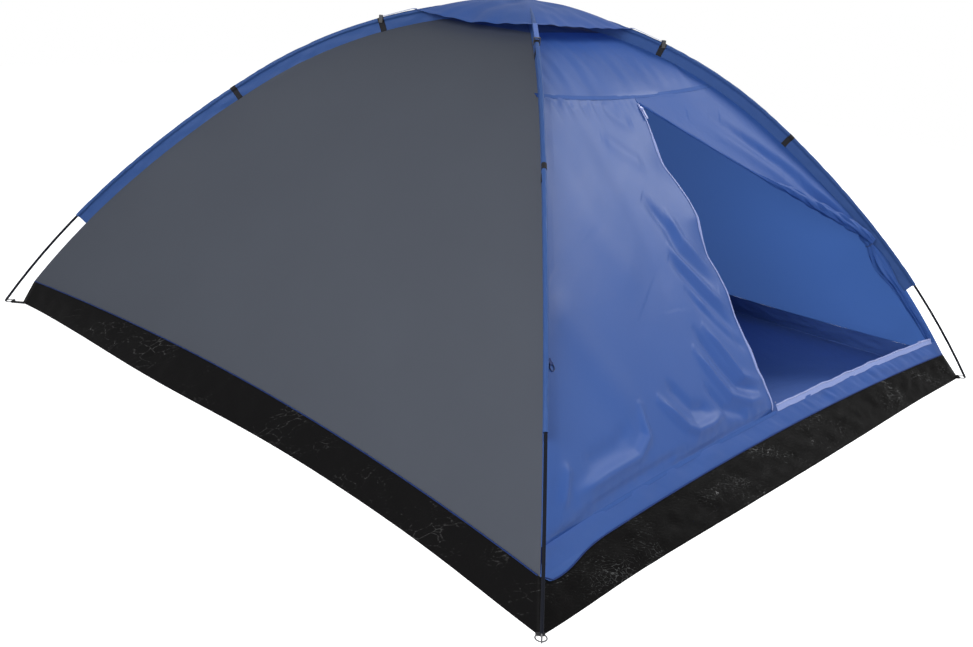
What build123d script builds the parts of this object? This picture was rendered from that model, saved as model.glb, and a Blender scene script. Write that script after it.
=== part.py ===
"""Four-person dome tent: a single-skin cabin hung inside two crossed poles.

Millimetres, +Z up.  The origin is on the ground at the middle of the base.
The door wall faces -Y and the grey wall faces -X.
"""
from build123d import *
from math import acos, asin, cos, degrees, hypot, radians, sin, sqrt
import os

os.makedirs("parts", exist_ok=True)

# Poles: seven hollow rods each, and every rod bends to its own radius.
pole_diameter = 8.5
pole_bore = 4.6
rod_length = 634.0
foot_rod_length = 624.0
crown_bend = 27.8
shoulder_bend = 21.5
flank_bend = 9.0
foot_bend = 10.5
foot_height = 8.0
crossing_clearance = 0.4
plan_angle = 46.2
ferrule_length = 60.0
ferrule_wall = 0.7
ferrule_clearance = 0.05
shock_cord_diameter = 2.5
cord_end_gap = 10.0

# Pole sleeves: a folded strip sewn on the seam, open where a webbing loop holds the pole.
web_width = 38.0
web_thickness = 1.2
web_seam_gap = 0.35
sleeve_clearance = 1.0
sleeve_wall = 0.8
sleeve_gap = 26.0
loop_width = 20.0
loop_wall = 1.4
loop_tuck = 2.0
upper_loop_at = 484.0
lower_loop_at = 1040.0
sleeve_start = 46.0
sleeve_end = 1775.0

# Cabin.
wall_thickness = 2.4
seam_gap = 0.1
tub_height = 88.0
sill_height = 50.0
header_height = 972.0
vent_reach = 276.0
front_base_bow = 3.0
side_base_bow = 65.0
front_rim_sag = 60.0
side_rim_sag = 95.0
header_sag = 34.0
vent_sag = 12.0
zip_line_bulge = 30.0
floor_thickness = 3.0
mesh_thickness = 1.5
crown_patch_size = 76.0
crown_patch_thickness = 1.2
piping_diameter = 3.0
piping_clearance = 0.3
piping_end_gap = 8.0

# Door, in the right half of the front wall.
door_edge = 20.0
door_top = 941.0
tie_height = 492.0
tie_inset = 38.0
roll_radius_top = 5.0
roll_radius_tie = 21.0
tail_radius_tie = 15.0
tail_radius_end = 9.0
flap_clearance = 4.0
tail_inset = 34.0
tail_tuck = 2.0

# Zips.
tape_width = 14.0
tape_thickness = 0.8
tape_clearance = 0.3
coil_width = 3.0
coil_height = 1.4
slider_length = 13.0
slider_width = 9.0
slider_height = 4.5
slider_clearance = 0.35
bail_height = 3.6
bail_thickness = 1.6
bail_window = 2.4
bail_gap = 4.6
pull_length = 34.0
pull_width = 6.0
pull_thickness = 1.6
pull_pin_clearance = 0.5
pull_hole_radius = 1.4
stop_length = 3.0
stop_overhang = 1.0
stop_lip = 0.6
tape_seam = 1.6
sill_zip_end_gap = 45.0
zip_corner_gap = 26.0

# Corners.
strap_width = 20.0
strap_thickness = 1.4
ring_radius = 13.0
ring_wire = 1.5
ring_height = 4.9
corner_gap = 1.0
ground_clearance = 0.2
eye_clearance = 0.3
fold_clearance = 1.4
eye_wire = 1.2
pin_diameter = 4.0
pin_depth = 40.0

# Fly sheet over the crossing.
fly_reach = 372.0
fly_thickness = 1.5
fly_clearance = 0.8
fly_strap_width = 14.0
fly_strap_thickness = 1.0
fly_strap_gap = 0.3
clip_wall = 1.8
clip_depth = 9.0
clip_length = 12.0
clip_seat = 0.2
strap_seat = 0.6

# Guy loops, and the tie that holds the door open.
guy_loop_height = 451.0
guy_loop_inset = 30.0
guy_loop_radius = 9.0
guy_loop_wire = 1.5
guy_clearance = 0.3
guy_tab_width = 9.0
tie_clearance = 0.3
tie_wire = 1.5
tie_open_angle = 42.0

pole_radius = pole_diameter / 2
ferrule_inner = pole_radius + ferrule_clearance
ferrule_outer = ferrule_inner + ferrule_wall
sleeve_inner = ferrule_outer + sleeve_clearance
sleeve_outer = sleeve_inner + sleeve_wall
crossing_lift = pole_diameter + 2 * ferrule_wall + crossing_clearance
cos_plan = cos(radians(plan_angle))
sin_plan = sin(radians(plan_angle))


# The half arch from the crown to a foot, as tangent arcs in the (reach, height) plane.
# An arc is (start, end, centre reach, centre height, radius, slope at start).
def arch_arcs():
    rods = (
        (rod_length / 2, crown_bend / 2),
        (rod_length, shoulder_bend),
        (rod_length, flank_bend),
        (foot_rod_length, foot_bend),
    )
    arcs = []
    along = reach = height = slope = 0.0
    for length, bend in rods:
        radius = length / radians(bend)
        centre_reach = reach - radius * sin(slope)
        centre_height = height - radius * cos(slope)
        arcs.append((along, along + length, centre_reach, centre_height, radius, slope))
        along += length
        slope += radians(bend)
        reach = centre_reach + radius * sin(slope)
        height = centre_height + radius * cos(slope)
    lift = foot_height - height
    return [(a, b, u, z + lift, r, s) for a, b, u, z, r, s in arcs]


ARCS = arch_arcs()
half_length = ARCS[-1][1]
joints_along = [arc[1] for arc in ARCS[:-1]]


def arc_at(along):
    for arc in ARCS:
        if abs(along) <= arc[1]:
            return arc
    return ARCS[-1]


def slope_at(along):
    first, _, _, _, radius, slope = arc_at(along)
    turned = slope + (abs(along) - first) / radius
    return turned if along >= 0 else -turned


def arch_point(along, inset=0.0, lift=0.0):
    """A point on the arch, or `inset` below it, at a distance along the pole."""
    _, _, reach, height, radius, _ = arc_at(along)
    slope = slope_at(abs(along))
    reach += (radius - inset) * sin(slope)
    return Vector(reach if along >= 0 else -reach, 0, height + (radius - inset) * cos(slope) + lift)


def arch_edges(start, end, inset=0.0, lift=0.0):
    edges = []
    spans = [(-ARCS[0][1], ARCS[0][1])] + [(arc[0], arc[1]) for arc in ARCS[1:]]
    for first, last in spans:
        low = max(start, first)
        high = min(end, last)
        if high - low > 0.01:
            points = [arch_point(at, inset, lift) for at in (low, (low + high) / 2, high)]
            edges.append(ThreePointArc(*points))
    return edges


def seam_reach(height):
    """How far out the wall seam is at a height; it runs `web_width` inside the poles."""
    for _, last, reach, centre, radius, slope in ARCS:
        inner = radius - web_width
        turned = acos(min(1.0, (height - centre) / inner))
        if turned <= slope_at(last) + 1e-9:
            return reach + inner * sin(turned)
    return reach + inner * sin(turned)


vent_point = arch_point(vent_reach, web_width)
vent_height = vent_point.Z
corner_reach = seam_reach(0.0)

ARMS = {
    "front_left": 180 + plan_angle,
    "front_right": -plan_angle,
    "back_right": plan_angle,
    "back_left": 180 - plan_angle,
}
POLES = {"pole_a": ("front_left", "back_right"), "pole_b": ("front_right", "back_left")}
LIFTS = {"pole_a": crossing_lift, "pole_b": 0.0}
ARM_LIFT = {arm: LIFTS[pole] for pole, arms in POLES.items() for arm in arms}


def on_arm(shape, arm):
    return shape.rotate(Axis.Z, ARMS[arm])


def as_node(name, shapes):
    """Write one sub-part: a lone solid, or a group of separate like solids."""
    solids = []
    for shape in shapes:
        solids += list(shape.solids())
    part = solids[0] if len(solids) == 1 else Compound(children=solids)
    part.label = name
    export_step(part, f"parts/{name}.step")


def tube(start, end, outer, inner, lift):
    path = Wire(arch_edges(start, end, 0, lift))
    section = Plane(origin=path @ 0, z_dir=path % 0) * Circle(outer)
    solid = sweep(section, path=path)
    if inner > 0:
        hollow = Plane(origin=path @ 0, z_dir=path % 0) * Circle(inner)
        solid = solid - sweep(hollow, path=path)
    return solid


def strip(start, end, inner_inset, inner_lift, outer_inset, outer_lift, thickness):
    """A flat strip in the plane of the pole, between two curves beside it."""
    low = arch_edges(start, end, inner_inset, inner_lift)
    high = arch_edges(start, end, outer_inset, outer_lift)
    ends = [
        Line(arch_point(at, inner_inset, inner_lift), arch_point(at, outer_inset, outer_lift))
        for at in (start, end)
    ]
    face = Face(Wire(low + high + ends))
    return extrude(face, amount=thickness / 2, dir=(0, 1, 0), both=True)


# ---------------------------------------------------------------- cabin walls
# A wall is drawn on level outlines.  `along` runs along the wall and `out` points away
# from the cabin's middle.
WALLS = {"front": (0, False), "right": (90, True), "back": (180, False), "left": (270, True)}


def wall_point(wall, along, out, height):
    turn = radians(WALLS[wall][0])
    x, y = along, -out
    return Vector(x * cos(turn) - y * sin(turn), x * sin(turn) + y * cos(turn), height)


def wall_extent(wall, height):
    """Half width of a wall and its distance from the middle, at its seams."""
    reach = seam_reach(height)
    if WALLS[wall][1]:
        return reach * sin_plan, reach * cos_plan
    return reach * cos_plan, reach * sin_plan


rim_out = wall_extent("front", tub_height)[1] - front_rim_sag
header_out = wall_extent("front", header_height)[1] - header_sag
zip_chord = Vector(header_out - rim_out, header_height - tub_height)
zip_radius = zip_chord.length**2 / (8 * zip_line_bulge) + zip_line_bulge / 2
zip_middle = Vector((rim_out + header_out) / 2, (tub_height + header_height) / 2)
zip_inward = Vector(-zip_chord.Y, zip_chord.X).normalized() * (zip_radius - zip_line_bulge)
zip_centre = zip_middle - zip_inward if zip_inward.X > 0 else zip_middle + zip_inward


def zip_line_out(height):
    """Distance of the front wall's middle line, a circular arc that carries the side zip."""
    return zip_centre.X + sqrt(zip_radius**2 - (height - zip_centre.Y) ** 2)


def wall_sag(wall, height):
    if height <= tub_height:
        share = height / tub_height
        if WALLS[wall][1]:
            return side_base_bow + (side_rim_sag - side_base_bow) * share
        return front_base_bow + (front_rim_sag - front_base_bow) * share
    if wall == "front" and height <= header_height:
        return wall_extent(wall, height)[1] - zip_line_out(height)
    if wall == "front":
        share = (height - header_height) / (vent_height - header_height)
        return header_sag + (vent_sag - header_sag) * share
    share = (height - tub_height) / (vent_height - tub_height)
    rim = side_rim_sag if WALLS[wall][1] else front_rim_sag
    return vent_sag + (rim - vent_sag) * (1 - share**2)


def wall_outline(wall, height):
    half, out = wall_extent(wall, height)
    sag = wall_sag(wall, height)
    setback = (web_thickness / 2 + seam_gap) * hypot(half, out) / out
    inner_half = half - setback - wall_thickness * half / out
    outer_half = half - setback
    outer = []
    inner = []
    for side, distance in ((-1, out), (0, out - sag), (1, out)):
        outer.append(wall_point(wall, side * outer_half, distance, height))
        inner.append(wall_point(wall, side * inner_half, distance - wall_thickness, height))
    ends = [Line(outer[0], inner[0]), Line(outer[2], inner[2])]
    return Face(Wire([ThreePointArc(*outer), ThreePointArc(*inner)] + ends))


def wall_panel(wall, bottom, top, levels):
    heights = [bottom + (top - bottom) * i / (levels - 1) for i in range(levels)]
    return loft([wall_outline(wall, height) for height in heights])


def outline_arc(wall, half, out, sag, inset, height):
    """One side of a level outline, moved `inset` towards the middle of the cabin."""
    shrink = 1 - inset * sqrt(2) / hypot(half, out)
    ends = [(-half * shrink, out * shrink), (0, out - sag - inset), (half * shrink, out * shrink)]
    return ThreePointArc(*[wall_point(wall, a, o, height) for a, o in ends])


def level_outline(height, inset=0.0, drop=0.0):
    """The whole cabin's outline at a height, moved inwards by `inset`."""
    edges = []
    for wall in WALLS:
        half, out = wall_extent(wall, height)
        edges.append(outline_arc(wall, half, out, wall_sag(wall, height), inset, height - drop))
    return Face(Wire(edges))


# Groundsheet: a floor and four low walls in one coated sheet.
tub_outer = loft([level_outline(0), level_outline(tub_height)], ruled=True)
tub_inner = loft([level_outline(0, wall_thickness), level_outline(tub_height, wall_thickness)], ruled=True)
floor_size = 4 * corner_reach
floor_cut = Pos(0, 0, floor_thickness / 2) * Box(floor_size, floor_size, floor_thickness)
as_node("groundsheet", [tub_outer - (tub_inner - floor_cut)])

# Piping sewn along the joint of tub and walls.
piping_radius = piping_diameter / 2


def piping_gap(spread):
    """Level distance of the piping's middle from the rim, where the tub leans by `spread`."""
    return piping_radius * hypot(1, spread / tub_height) + piping_clearance


piping = []
for wall in WALLS:
    half, out = wall_extent(wall, tub_height)
    side = wall_sag(wall, tub_height)
    base_out = wall_extent(wall, 0)[1]
    shrink = 1 - piping_end_gap / hypot(half, out)
    end_gap = piping_gap(base_out - out)
    middle_gap = piping_gap(base_out - wall_sag(wall, 0) - (out - side))
    ends = [(-half * shrink, out + end_gap), (0, out - side + middle_gap), (half * shrink, out + end_gap)]
    path = ThreePointArc(*[wall_point(wall, a, o, tub_height) for a, o in ends])
    piping.append(sweep(Plane(origin=path @ 0, z_dir=path % 0) * Circle(piping_radius), path=path))
as_node("tub_piping", piping)

for wall in ("left", "right", "back"):
    as_node(f"{wall}_wall", [wall_panel(wall, tub_height, vent_height, 10)])

# Front wall: sill, main panel with the doorway cut out, tied-back door and header.
sill_top = tub_height + sill_height
as_node("front_sill", [wall_panel("front", tub_height, sill_top, 3)])
as_node("front_header", [wall_panel("front", header_height, vent_height, 4)])
front_skin = wall_panel("front", sill_top, header_height, 10)


def front_prism(points):
    """A vertical cut through the front wall, from (x, z) points."""
    face = Face(Wire.make_polygon([Vector(x, 0, z) for x, z in points], close=True))
    return extrude(face, amount=2 * corner_reach, dir=(0, -1, 0))


tie_half, _ = wall_extent("front", tie_height)
tie_x = tie_half - tie_inset
beyond = 2 * corner_reach
door_side = front_prism([
    (door_edge, 0),
    (beyond, 0),
    (beyond, 2 * header_height),
    (door_edge, 2 * header_height),
])
above_fold = front_prism([
    (door_edge, door_top),
    (tie_x, tie_height),
    (beyond, tie_height),
    (beyond, 2 * header_height),
    (door_edge, 2 * header_height),
])
as_node("front_wall", [front_skin - door_side])


def on_wall(wall, along, height, out=0.0):
    """A point `out` in front of a wall's surface."""
    half, distance = wall_extent(wall, height)
    sag = wall_sag(wall, height)
    arc_radius = (half**2 + sag**2) / (2 * sag)
    dip = sqrt(arc_radius**2 - along**2) - sqrt(arc_radius**2 - half**2)
    return wall_point(wall, along, distance - dip + out, height)


def cone_between(start, end, start_radius, end_radius):
    axis = end - start
    frame = Plane(origin=start, z_dir=axis.normalized())
    bottom = frame * Circle(start_radius)
    top = frame.offset(axis.length) * Circle(end_radius)
    return loft([bottom, top], ruled=True)


fold_start = door_edge + flap_clearance + roll_radius_top
fold_top = on_wall("front", fold_start, door_top - 2 * roll_radius_top, -roll_radius_top)
fold_tie = on_wall("front", tie_x, tie_height, -wall_thickness)
tail_half, _ = wall_extent("front", sill_top + 2 * tail_radius_end)
tail_end = on_wall("front", tail_half - tail_inset, sill_top + 1.5 * tail_radius_end, -tail_tuck)
roll = cone_between(fold_top, fold_tie, roll_radius_top, roll_radius_tie)
tail = cone_between(fold_tie, tail_end, tail_radius_tie, tail_radius_end)
knot = Pos(*fold_tie) * Sphere(roll_radius_tie)
flap_skin = front_skin & door_side & above_fold
door_flap = flap_skin + roll + knot + tail
as_node("door_flap", [door_flap])

# Roof vent: net between the wall tops, with a patch under the pole crossing.
crown_height = arch_point(0, web_width).Z
vent_levels = [vent_height + (crown_height - vent_height) * share for share in (0, 0.35, 0.65, 0.87)]


def vent_outline(height, inset, drop):
    sag = vent_sag * (crown_height - height) / (crown_height - vent_height)
    edges = []
    for wall in WALLS:
        half, out = wall_extent(wall, height)
        edges.append(outline_arc(wall, half, out, sag, inset, height - drop))
    return Face(Wire(edges))


vent_outer = loft([vent_outline(height, 0, 0) for height in vent_levels])
vent_inner = loft([vent_outline(height, 2 * mesh_thickness, mesh_thickness) for height in vent_levels])
as_node("roof_vent_mesh", [vent_outer - vent_inner])
patch_height = vent_levels[-1] + crown_patch_thickness / 2
crown_patch = Pos(0, 0, patch_height) * Box(crown_patch_size, crown_patch_size, crown_patch_thickness)
as_node("crown_patch", [crown_patch])

# ---------------------------------------------------------------- poles
for pole, arms in POLES.items():
    lift = LIFTS[pole]
    crown_end = joints_along[0]
    crown = tube(-crown_end, crown_end, pole_radius, pole_bore / 2, lift)
    as_node(f"{pole}_crown_rod", [on_arm(crown, arms[0])])
    for rod, first, last in zip(("shoulder", "flank", "foot"), joints_along, joints_along[1:] + [half_length]):
        solid = tube(first, last, pole_radius, pole_bore / 2, lift)
        as_node(f"{pole}_{rod}_rods", [on_arm(solid, arm) for arm in arms])
    ferrules = []
    for at in joints_along:
        ring = tube(at - ferrule_length / 2, at + ferrule_length / 2, ferrule_outer, ferrule_inner, lift)
        ferrules += [on_arm(ring, arm) for arm in arms]
    as_node(f"{pole}_ferrules", ferrules)
    cord_end = half_length - pin_depth - cord_end_gap
    cord = tube(0, cord_end, shock_cord_diameter / 2, 0, lift)
    cords = [on_arm(cord, arm) for arm in arms]
    as_node(f"{pole}_shock_cord", [cords[0] + cords[1]])

# ---------------------------------------------------------------- sleeves and pole loops
SLEEVES = {
    "upper": (sleeve_start, upper_loop_at - sleeve_gap / 2),
    "middle": (upper_loop_at + sleeve_gap / 2, lower_loop_at - sleeve_gap / 2),
    "lower": (lower_loop_at + sleeve_gap / 2, sleeve_end),
}


def sleeve(start, end, outer, inner, seam_inset, lift):
    web = strip(start, end, seam_inset, 0, (outer + inner) / 2, lift, web_thickness)
    return tube(start, end, outer, inner, lift) + web


for place, (start, end) in SLEEVES.items():
    for arm, lift in ARM_LIFT.items():
        solid = sleeve(start, end, sleeve_outer, sleeve_inner, web_width - web_seam_gap, lift)
        as_node(f"sleeve_{arm}_{place}", [on_arm(solid, arm)])

loop_outer = sleeve_inner + loop_wall
for place, at in (("upper", upper_loop_at), ("lower", lower_loop_at)):
    loops = []
    for arm, lift in ARM_LIFT.items():
        ends = (at - loop_width / 2, at + loop_width / 2)
        solid = sleeve(*ends, loop_outer, sleeve_inner, web_width + loop_tuck, lift)
        loops.append(on_arm(solid, arm))
    as_node(f"pole_loops_{place}", loops)

# ---------------------------------------------------------------- corners
eye_inner = ring_wire + eye_clearance
strap_start = corner_reach + corner_gap
straps = []
rings = []
pins = []
for arm, lift in ARM_LIFT.items():
    foot = arch_point(half_length, 0, lift)
    slope = slope_at(half_length)
    heading = Vector(cos(slope), 0, -sin(slope))
    overhang = (foot.Z - ring_height) / sin(slope)
    eye = foot + heading * overhang
    eye_centre = Vector(eye.X, 0, ring_height)
    ring_centre = eye_centre - Vector(ring_radius, 0, 0)
    ring = Pos(*ring_centre) * Torus(ring_radius, ring_wire)
    rings.append(on_arm(ring, arm))

    eye_torus = Pos(*eye_centre) * Rot(90, 0, 0) * Torus(eye_inner + eye_wire, eye_wire)
    shank_end = eye - heading * (eye_inner + eye_wire)
    shank_start = foot - heading * pin_depth
    shank = Plane(origin=shank_end, z_dir=-heading) * Cylinder(
        pin_diameter / 2, (shank_end - shank_start).length, align=(Align.CENTER, Align.CENTER, Align.MIN)
    )
    pins.append(on_arm(shank + eye_torus, arm))

    fold_reach = ring_centre.X - ring_radius
    fold_inner = ring_wire + fold_clearance
    fold = Pos(fold_reach, 0, ring_height) * Rot(90, 0, 0) * (
        Cylinder(fold_inner + strap_thickness, strap_width / 2) - Cylinder(fold_inner, strap_width)
    )
    tongue_top = ring_height - fold_inner
    outline = [
        Vector(strap_start, 0, ground_clearance),
        Vector(fold_reach, 0, tongue_top - strap_thickness),
        Vector(fold_reach, 0, tongue_top),
        Vector(strap_start, 0, ground_clearance + strap_thickness),
    ]
    tongue_side = Face(Wire.make_polygon(outline, close=True))
    tongue = extrude(tongue_side, amount=strap_width / 2, dir=(0, 1, 0), both=True)
    straps.append(on_arm(tongue + fold, arm))
as_node("corner_straps", straps)
as_node("corner_rings", rings)
as_node("corner_pins", pins)

# ---------------------------------------------------------------- fly sheet
fly_inset = -(sleeve_outer + fly_clearance)


def fly_outline(along, raise_by, spread):
    corner = arch_point(along, fly_inset, crossing_lift)
    reach = corner.X + spread
    x = reach * cos_plan
    y = reach * sin_plan
    height = corner.Z + raise_by
    points = [Vector(sx * x, sy * y, height) for sx, sy in ((1, 1), (-1, 1), (-1, -1), (1, -1))]
    return Face(Wire.make_polygon(points, close=True))


fly_levels = [fly_reach * share for share in (1.0, 0.75, 0.5, 0.28, 0.1)]
fly_outer = loft([fly_outline(at, fly_thickness, 2 * fly_thickness) for at in fly_levels])
fly_inner = loft([fly_outline(at, 0, 0) for at in fly_levels])
as_node("flysheet", [fly_outer - fly_inner])

fly_straps = []
fly_clips = []
for arm, lift in ARM_LIFT.items():
    start = arch_point(fly_reach, fly_inset, crossing_lift)
    start += Vector(2 * fly_thickness + fly_strap_gap, 0, fly_thickness / 2)
    clip_inset = -(loop_outer + fly_clearance)
    end = arch_point(upper_loop_at, clip_inset, lift) + Vector(0, 0, strap_seat)
    lift_up = Vector(0, 0, fly_strap_thickness)
    side = Vector(end.X - start.X, 0, end.Z - start.Z).normalized()
    outline = [start, end, end + lift_up, start + lift_up]
    strap_side = Face(Wire.make_polygon(outline, close=True))
    strap = extrude(strap_side, amount=fly_strap_width / 2, dir=(0, 1, 0), both=True)
    fly_straps.append(on_arm(strap, arm))
    centre = arch_point(upper_loop_at, 0, lift)
    inner_half = loop_outer + fly_clearance
    roof_low = end.Z + fly_strap_thickness + clip_seat - centre.Z
    roof_low += (clip_length / 2 + end.X - centre.X) * abs(side.Z / side.X)
    saddle = Pos(0, 0, (roof_low + clip_wall - clip_depth) / 2) * Box(
        clip_length, 2 * (inner_half + clip_wall), roof_low + clip_wall + clip_depth
    )
    slot = Pos(0, 0, (roof_low - 2 * clip_depth) / 2) * Box(
        2 * clip_length, 2 * inner_half, roof_low + 2 * clip_depth
    )
    clip = Pos(*centre) * (saddle - slot)
    fly_clips.append(on_arm(clip, arm))
as_node("fly_straps", fly_straps)
as_node("fly_clips", fly_clips)

# ---------------------------------------------------------------- side zip
# The tape is sewn on the free edge of the fixed half, and the coil stands on its edge.
def zip_angle(height):
    return asin((height - zip_centre.Y) / zip_radius)


def zip_strip(bottom, top, low, high, x_low, x_high):
    """A strip over the zip line, `low` to `high` above the cloth; x is from the door's edge."""
    edges = []
    angles = [zip_angle(bottom), (zip_angle(bottom) + zip_angle(top)) / 2, zip_angle(top)]
    rings = []
    for radius in (zip_radius + low, zip_radius + high):
        ring = [
            Vector(door_edge + x_low, -(zip_centre.X + radius * cos(angle)), zip_centre.Y + radius * sin(angle))
            for angle in angles
        ]
        edges.append(ThreePointArc(*ring))
        rings.append(ring)
    edges += [Line(rings[0][0], rings[1][0]), Line(rings[0][2], rings[1][2])]
    return extrude(Face(Wire(edges)), amount=x_high - x_low, dir=(1, 0, 0))


tape_top = tape_clearance + tape_thickness
tape_low = sill_top + zip_corner_gap / 4
side_tape = zip_strip(tape_low, door_top, tape_clearance, tape_top, -tape_width, 0)
coil_ends = (tape_low + stop_length, door_top - stop_length)
side_coil = zip_strip(*coil_ends, tape_top, tape_top + coil_height, -coil_width, 0)
as_node("side_zip_tape", [side_tape + side_coil])

slider_floor = tape_top + slider_clearance


def zip_slider():
    """Local x across the zip, y along it, z away from the cloth; the coil's edge is at x = 0."""
    middle = -coil_width / 2
    body = Pos(middle, 0, slider_floor + slider_height / 2) * Box(slider_width, slider_length, slider_height)
    channel = Pos(middle, 0, slider_floor + coil_height / 2) * Box(
        coil_width + 2 * slider_clearance, 2 * slider_length, coil_height
    )
    bail_low = slider_floor + slider_height
    bail = Pos(middle, 0, bail_low + bail_height / 2) * Box(bail_thickness, slider_length * 0.6, bail_height)
    window = Pos(middle, 0, bail_low + bail_window / 2) * Box(2 * bail_thickness, bail_gap, bail_window)
    nose = Pos(middle, slider_length / 2, slider_floor + slider_height / 2) * Cylinder(
        slider_width * 0.3, slider_height
    )
    return body + nose - channel + (bail - window)


pull_pivot = Vector(-coil_width / 2, 0, slider_floor + slider_height + bail_window / 2)


def zip_pull():
    """The pull turns on a bar through the slider's bail and hangs along -y."""
    arm_inner = bail_thickness / 2 + pull_pin_clearance
    arm_width = pull_width / 2 - arm_inner
    neck = slider_length * 0.3 + bail_height
    bar = Rot(0, 90, 0) * Cylinder(pull_thickness / 2, pull_width)
    arms = [
        Pos(side * (arm_inner + arm_width / 2), -neck / 2, 0) * Box(arm_width, neck, pull_thickness)
        for side in (-1, 1)
    ]
    tab = Pos(0, -(neck + pull_length) / 2, 0) * Box(pull_width, pull_length - neck, pull_thickness)
    tip = Pos(0, -pull_length, 0) * Cylinder(pull_width / 2, pull_thickness)
    hole = Pos(0, -pull_length, 0) * Cylinder(pull_hole_radius, 2 * pull_thickness)
    return Pos(*pull_pivot) * (bar + arms[0] + arms[1] + tab + tip - hole)


def side_zip_frame(height):
    angle = zip_angle(height)
    outwards = Vector(0, -cos(angle), sin(angle))
    origin = Vector(door_edge, -zip_centre.X, zip_centre.Y) + outwards * zip_radius
    return Plane(origin=origin, x_dir=(1, 0, 0), z_dir=outwards)


side_slider_height = door_top - 2 * stop_length - slider_length / 2
side_slider_low = sill_top + zip_corner_gap
side_slider_travel = degrees(zip_angle(side_slider_height) - zip_angle(side_slider_low))
side_frame = side_zip_frame(side_slider_height)
as_node("side_zip_slider", [side_frame * zip_slider()])
as_node("side_zip_pull", [side_frame * zip_pull()])

# ---------------------------------------------------------------- sill zip
# The tape stands on the sill's top edge, on an arc about a far upright axis.
sill_half, sill_out = wall_extent("front", sill_top)
sill_sag = wall_sag("front", sill_top)
sill_arc_radius = (sill_half**2 + sill_sag**2) / (2 * sill_sag)
sill_axis_out = sill_out - sill_sag + sill_arc_radius
sill_axis = Axis((0, -sill_axis_out, 0), (0, 0, 1))
sill_lean = zip_angle(sill_top)
sill_up = Vector(0, sin(sill_lean), cos(sill_lean))
sill_outwards = Vector(0, -cos(sill_lean), sin(sill_lean))
sill_edge = Vector(0, -(sill_out - sill_sag), sill_top)


def sill_angle(x):
    return degrees(asin(x / sill_arc_radius))


def sill_strip(up_low, up_high, out_low, out_high, x_low, x_high):
    """A strip along the sill's edge; up along the wall's slope, out away from it."""
    corners = [(up_low, out_low), (up_high, out_low), (up_high, out_high), (up_low, out_high)]
    points = [sill_edge + sill_up * up + sill_outwards * out for up, out in corners]
    face = Face(Wire.make_polygon(points, close=True)).rotate(sill_axis, -sill_angle(x_low))
    return revolve(face, axis=sill_axis, revolution_arc=-(sill_angle(x_high) - sill_angle(x_low)))


sill_tape_out = -wall_thickness * 0.8
sill_coil_up = tape_width + stop_overhang
sill_tape_face = sill_tape_out + tape_thickness
sill_zip_start = door_edge + zip_corner_gap
sill_zip_end = tail_half - sill_zip_end_gap - tail_radius_end - tail_inset
sill_tape = sill_strip(
    tape_seam, sill_coil_up, sill_tape_out, sill_tape_face, sill_zip_start, sill_zip_end
)
sill_coil = sill_strip(
    sill_coil_up - coil_width, sill_coil_up, sill_tape_face, sill_tape_face + coil_height,
    sill_zip_start + stop_length, sill_zip_end - stop_length,
)
as_node("sill_zip_tape", [sill_tape + sill_coil])

sill_frame_origin = sill_edge + sill_up * sill_coil_up + sill_outwards * (sill_tape_out - tape_clearance)
sill_frame = Plane(origin=sill_frame_origin, x_dir=sill_up, z_dir=sill_outwards)
sill_slider_x = sill_zip_end - 2 * stop_length - slider_length / 2
sill_slider_low_x = sill_zip_start + 2 * stop_length + slider_length / 2
sill_slider_turn = -sill_angle(sill_slider_x)
sill_slider_travel = sill_angle(sill_slider_x) - sill_angle(sill_slider_low_x)
as_node("sill_zip_slider", [(sill_frame * zip_slider()).rotate(sill_axis, sill_slider_turn)])
as_node("sill_zip_pull", [(sill_frame * zip_pull()).rotate(sill_axis, sill_slider_turn)])

# Crimped stops at the four ends of the two zips.
stop_height = coil_height + stop_overhang
side_stops = [
    zip_strip(low, low + stop_length, tape_top, tape_top + stop_height, -coil_width - stop_overhang, stop_lip)
    for low in (tape_low, door_top - stop_length)
]
sill_stops = [
    sill_strip(
        sill_coil_up - coil_width - stop_overhang, sill_coil_up + stop_lip,
        sill_tape_face, sill_tape_face + stop_height, low, low + stop_length,
    )
    for low in (sill_zip_start, sill_zip_end - stop_length)
]
as_node("zip_end_stops", side_stops + sill_stops)

# ---------------------------------------------------------------- door tie and guy loops
tie_axis = (fold_tie - fold_top).normalized()
skin_side = Vector(0, 0, 1) - tie_axis * tie_axis.Z
tie_plane = Plane(origin=fold_tie, x_dir=skin_side.normalized(), z_dir=tie_axis)
tie_radius = roll_radius_tie + tie_clearance + tie_wire
tie_arc = tie_plane * CenterArc((0, 0), tie_radius, tie_open_angle, 360 - 2 * tie_open_angle)
tie_section = Plane(origin=tie_arc @ 0, z_dir=tie_arc % 0) * Circle(tie_wire)
as_node("door_tie", [sweep(tie_section, path=tie_arc)])

guy_loops = []
for wall, side in (("front", -1), ("right", -1), ("back", -1), ("back", 1)):
    half, _ = wall_extent(wall, guy_loop_height)
    along = side * (half - guy_loop_inset)
    foot = on_wall(wall, along, guy_loop_height)
    above = on_wall(wall, along, guy_loop_height + 2 * guy_loop_radius)
    beside = on_wall(wall, along + guy_loop_wire, guy_loop_height)
    upward = (above - foot).normalized()
    outward = (beside - foot).cross(upward).normalized()
    frame = Plane(origin=foot, x_dir=upward, z_dir=outward)
    ring = Pos(-guy_loop_radius, 0, guy_loop_wire + guy_clearance) * Torus(guy_loop_radius, guy_loop_wire)
    tab_height = guy_clearance + guy_loop_wire
    tab = Pos(0, 0, tab_height) * Box(3 * guy_loop_wire, guy_tab_width, 2 * guy_loop_wire)
    guy_loops.append(frame * (ring + tab))
as_node("guy_loops", guy_loops)
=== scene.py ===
"""Dome tent for four: two crossed poles, a hung cabin with a tub floor, and a small rain cap."""

import math
import bpy
import numpy as np
from mathutils import Matrix, Vector


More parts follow.
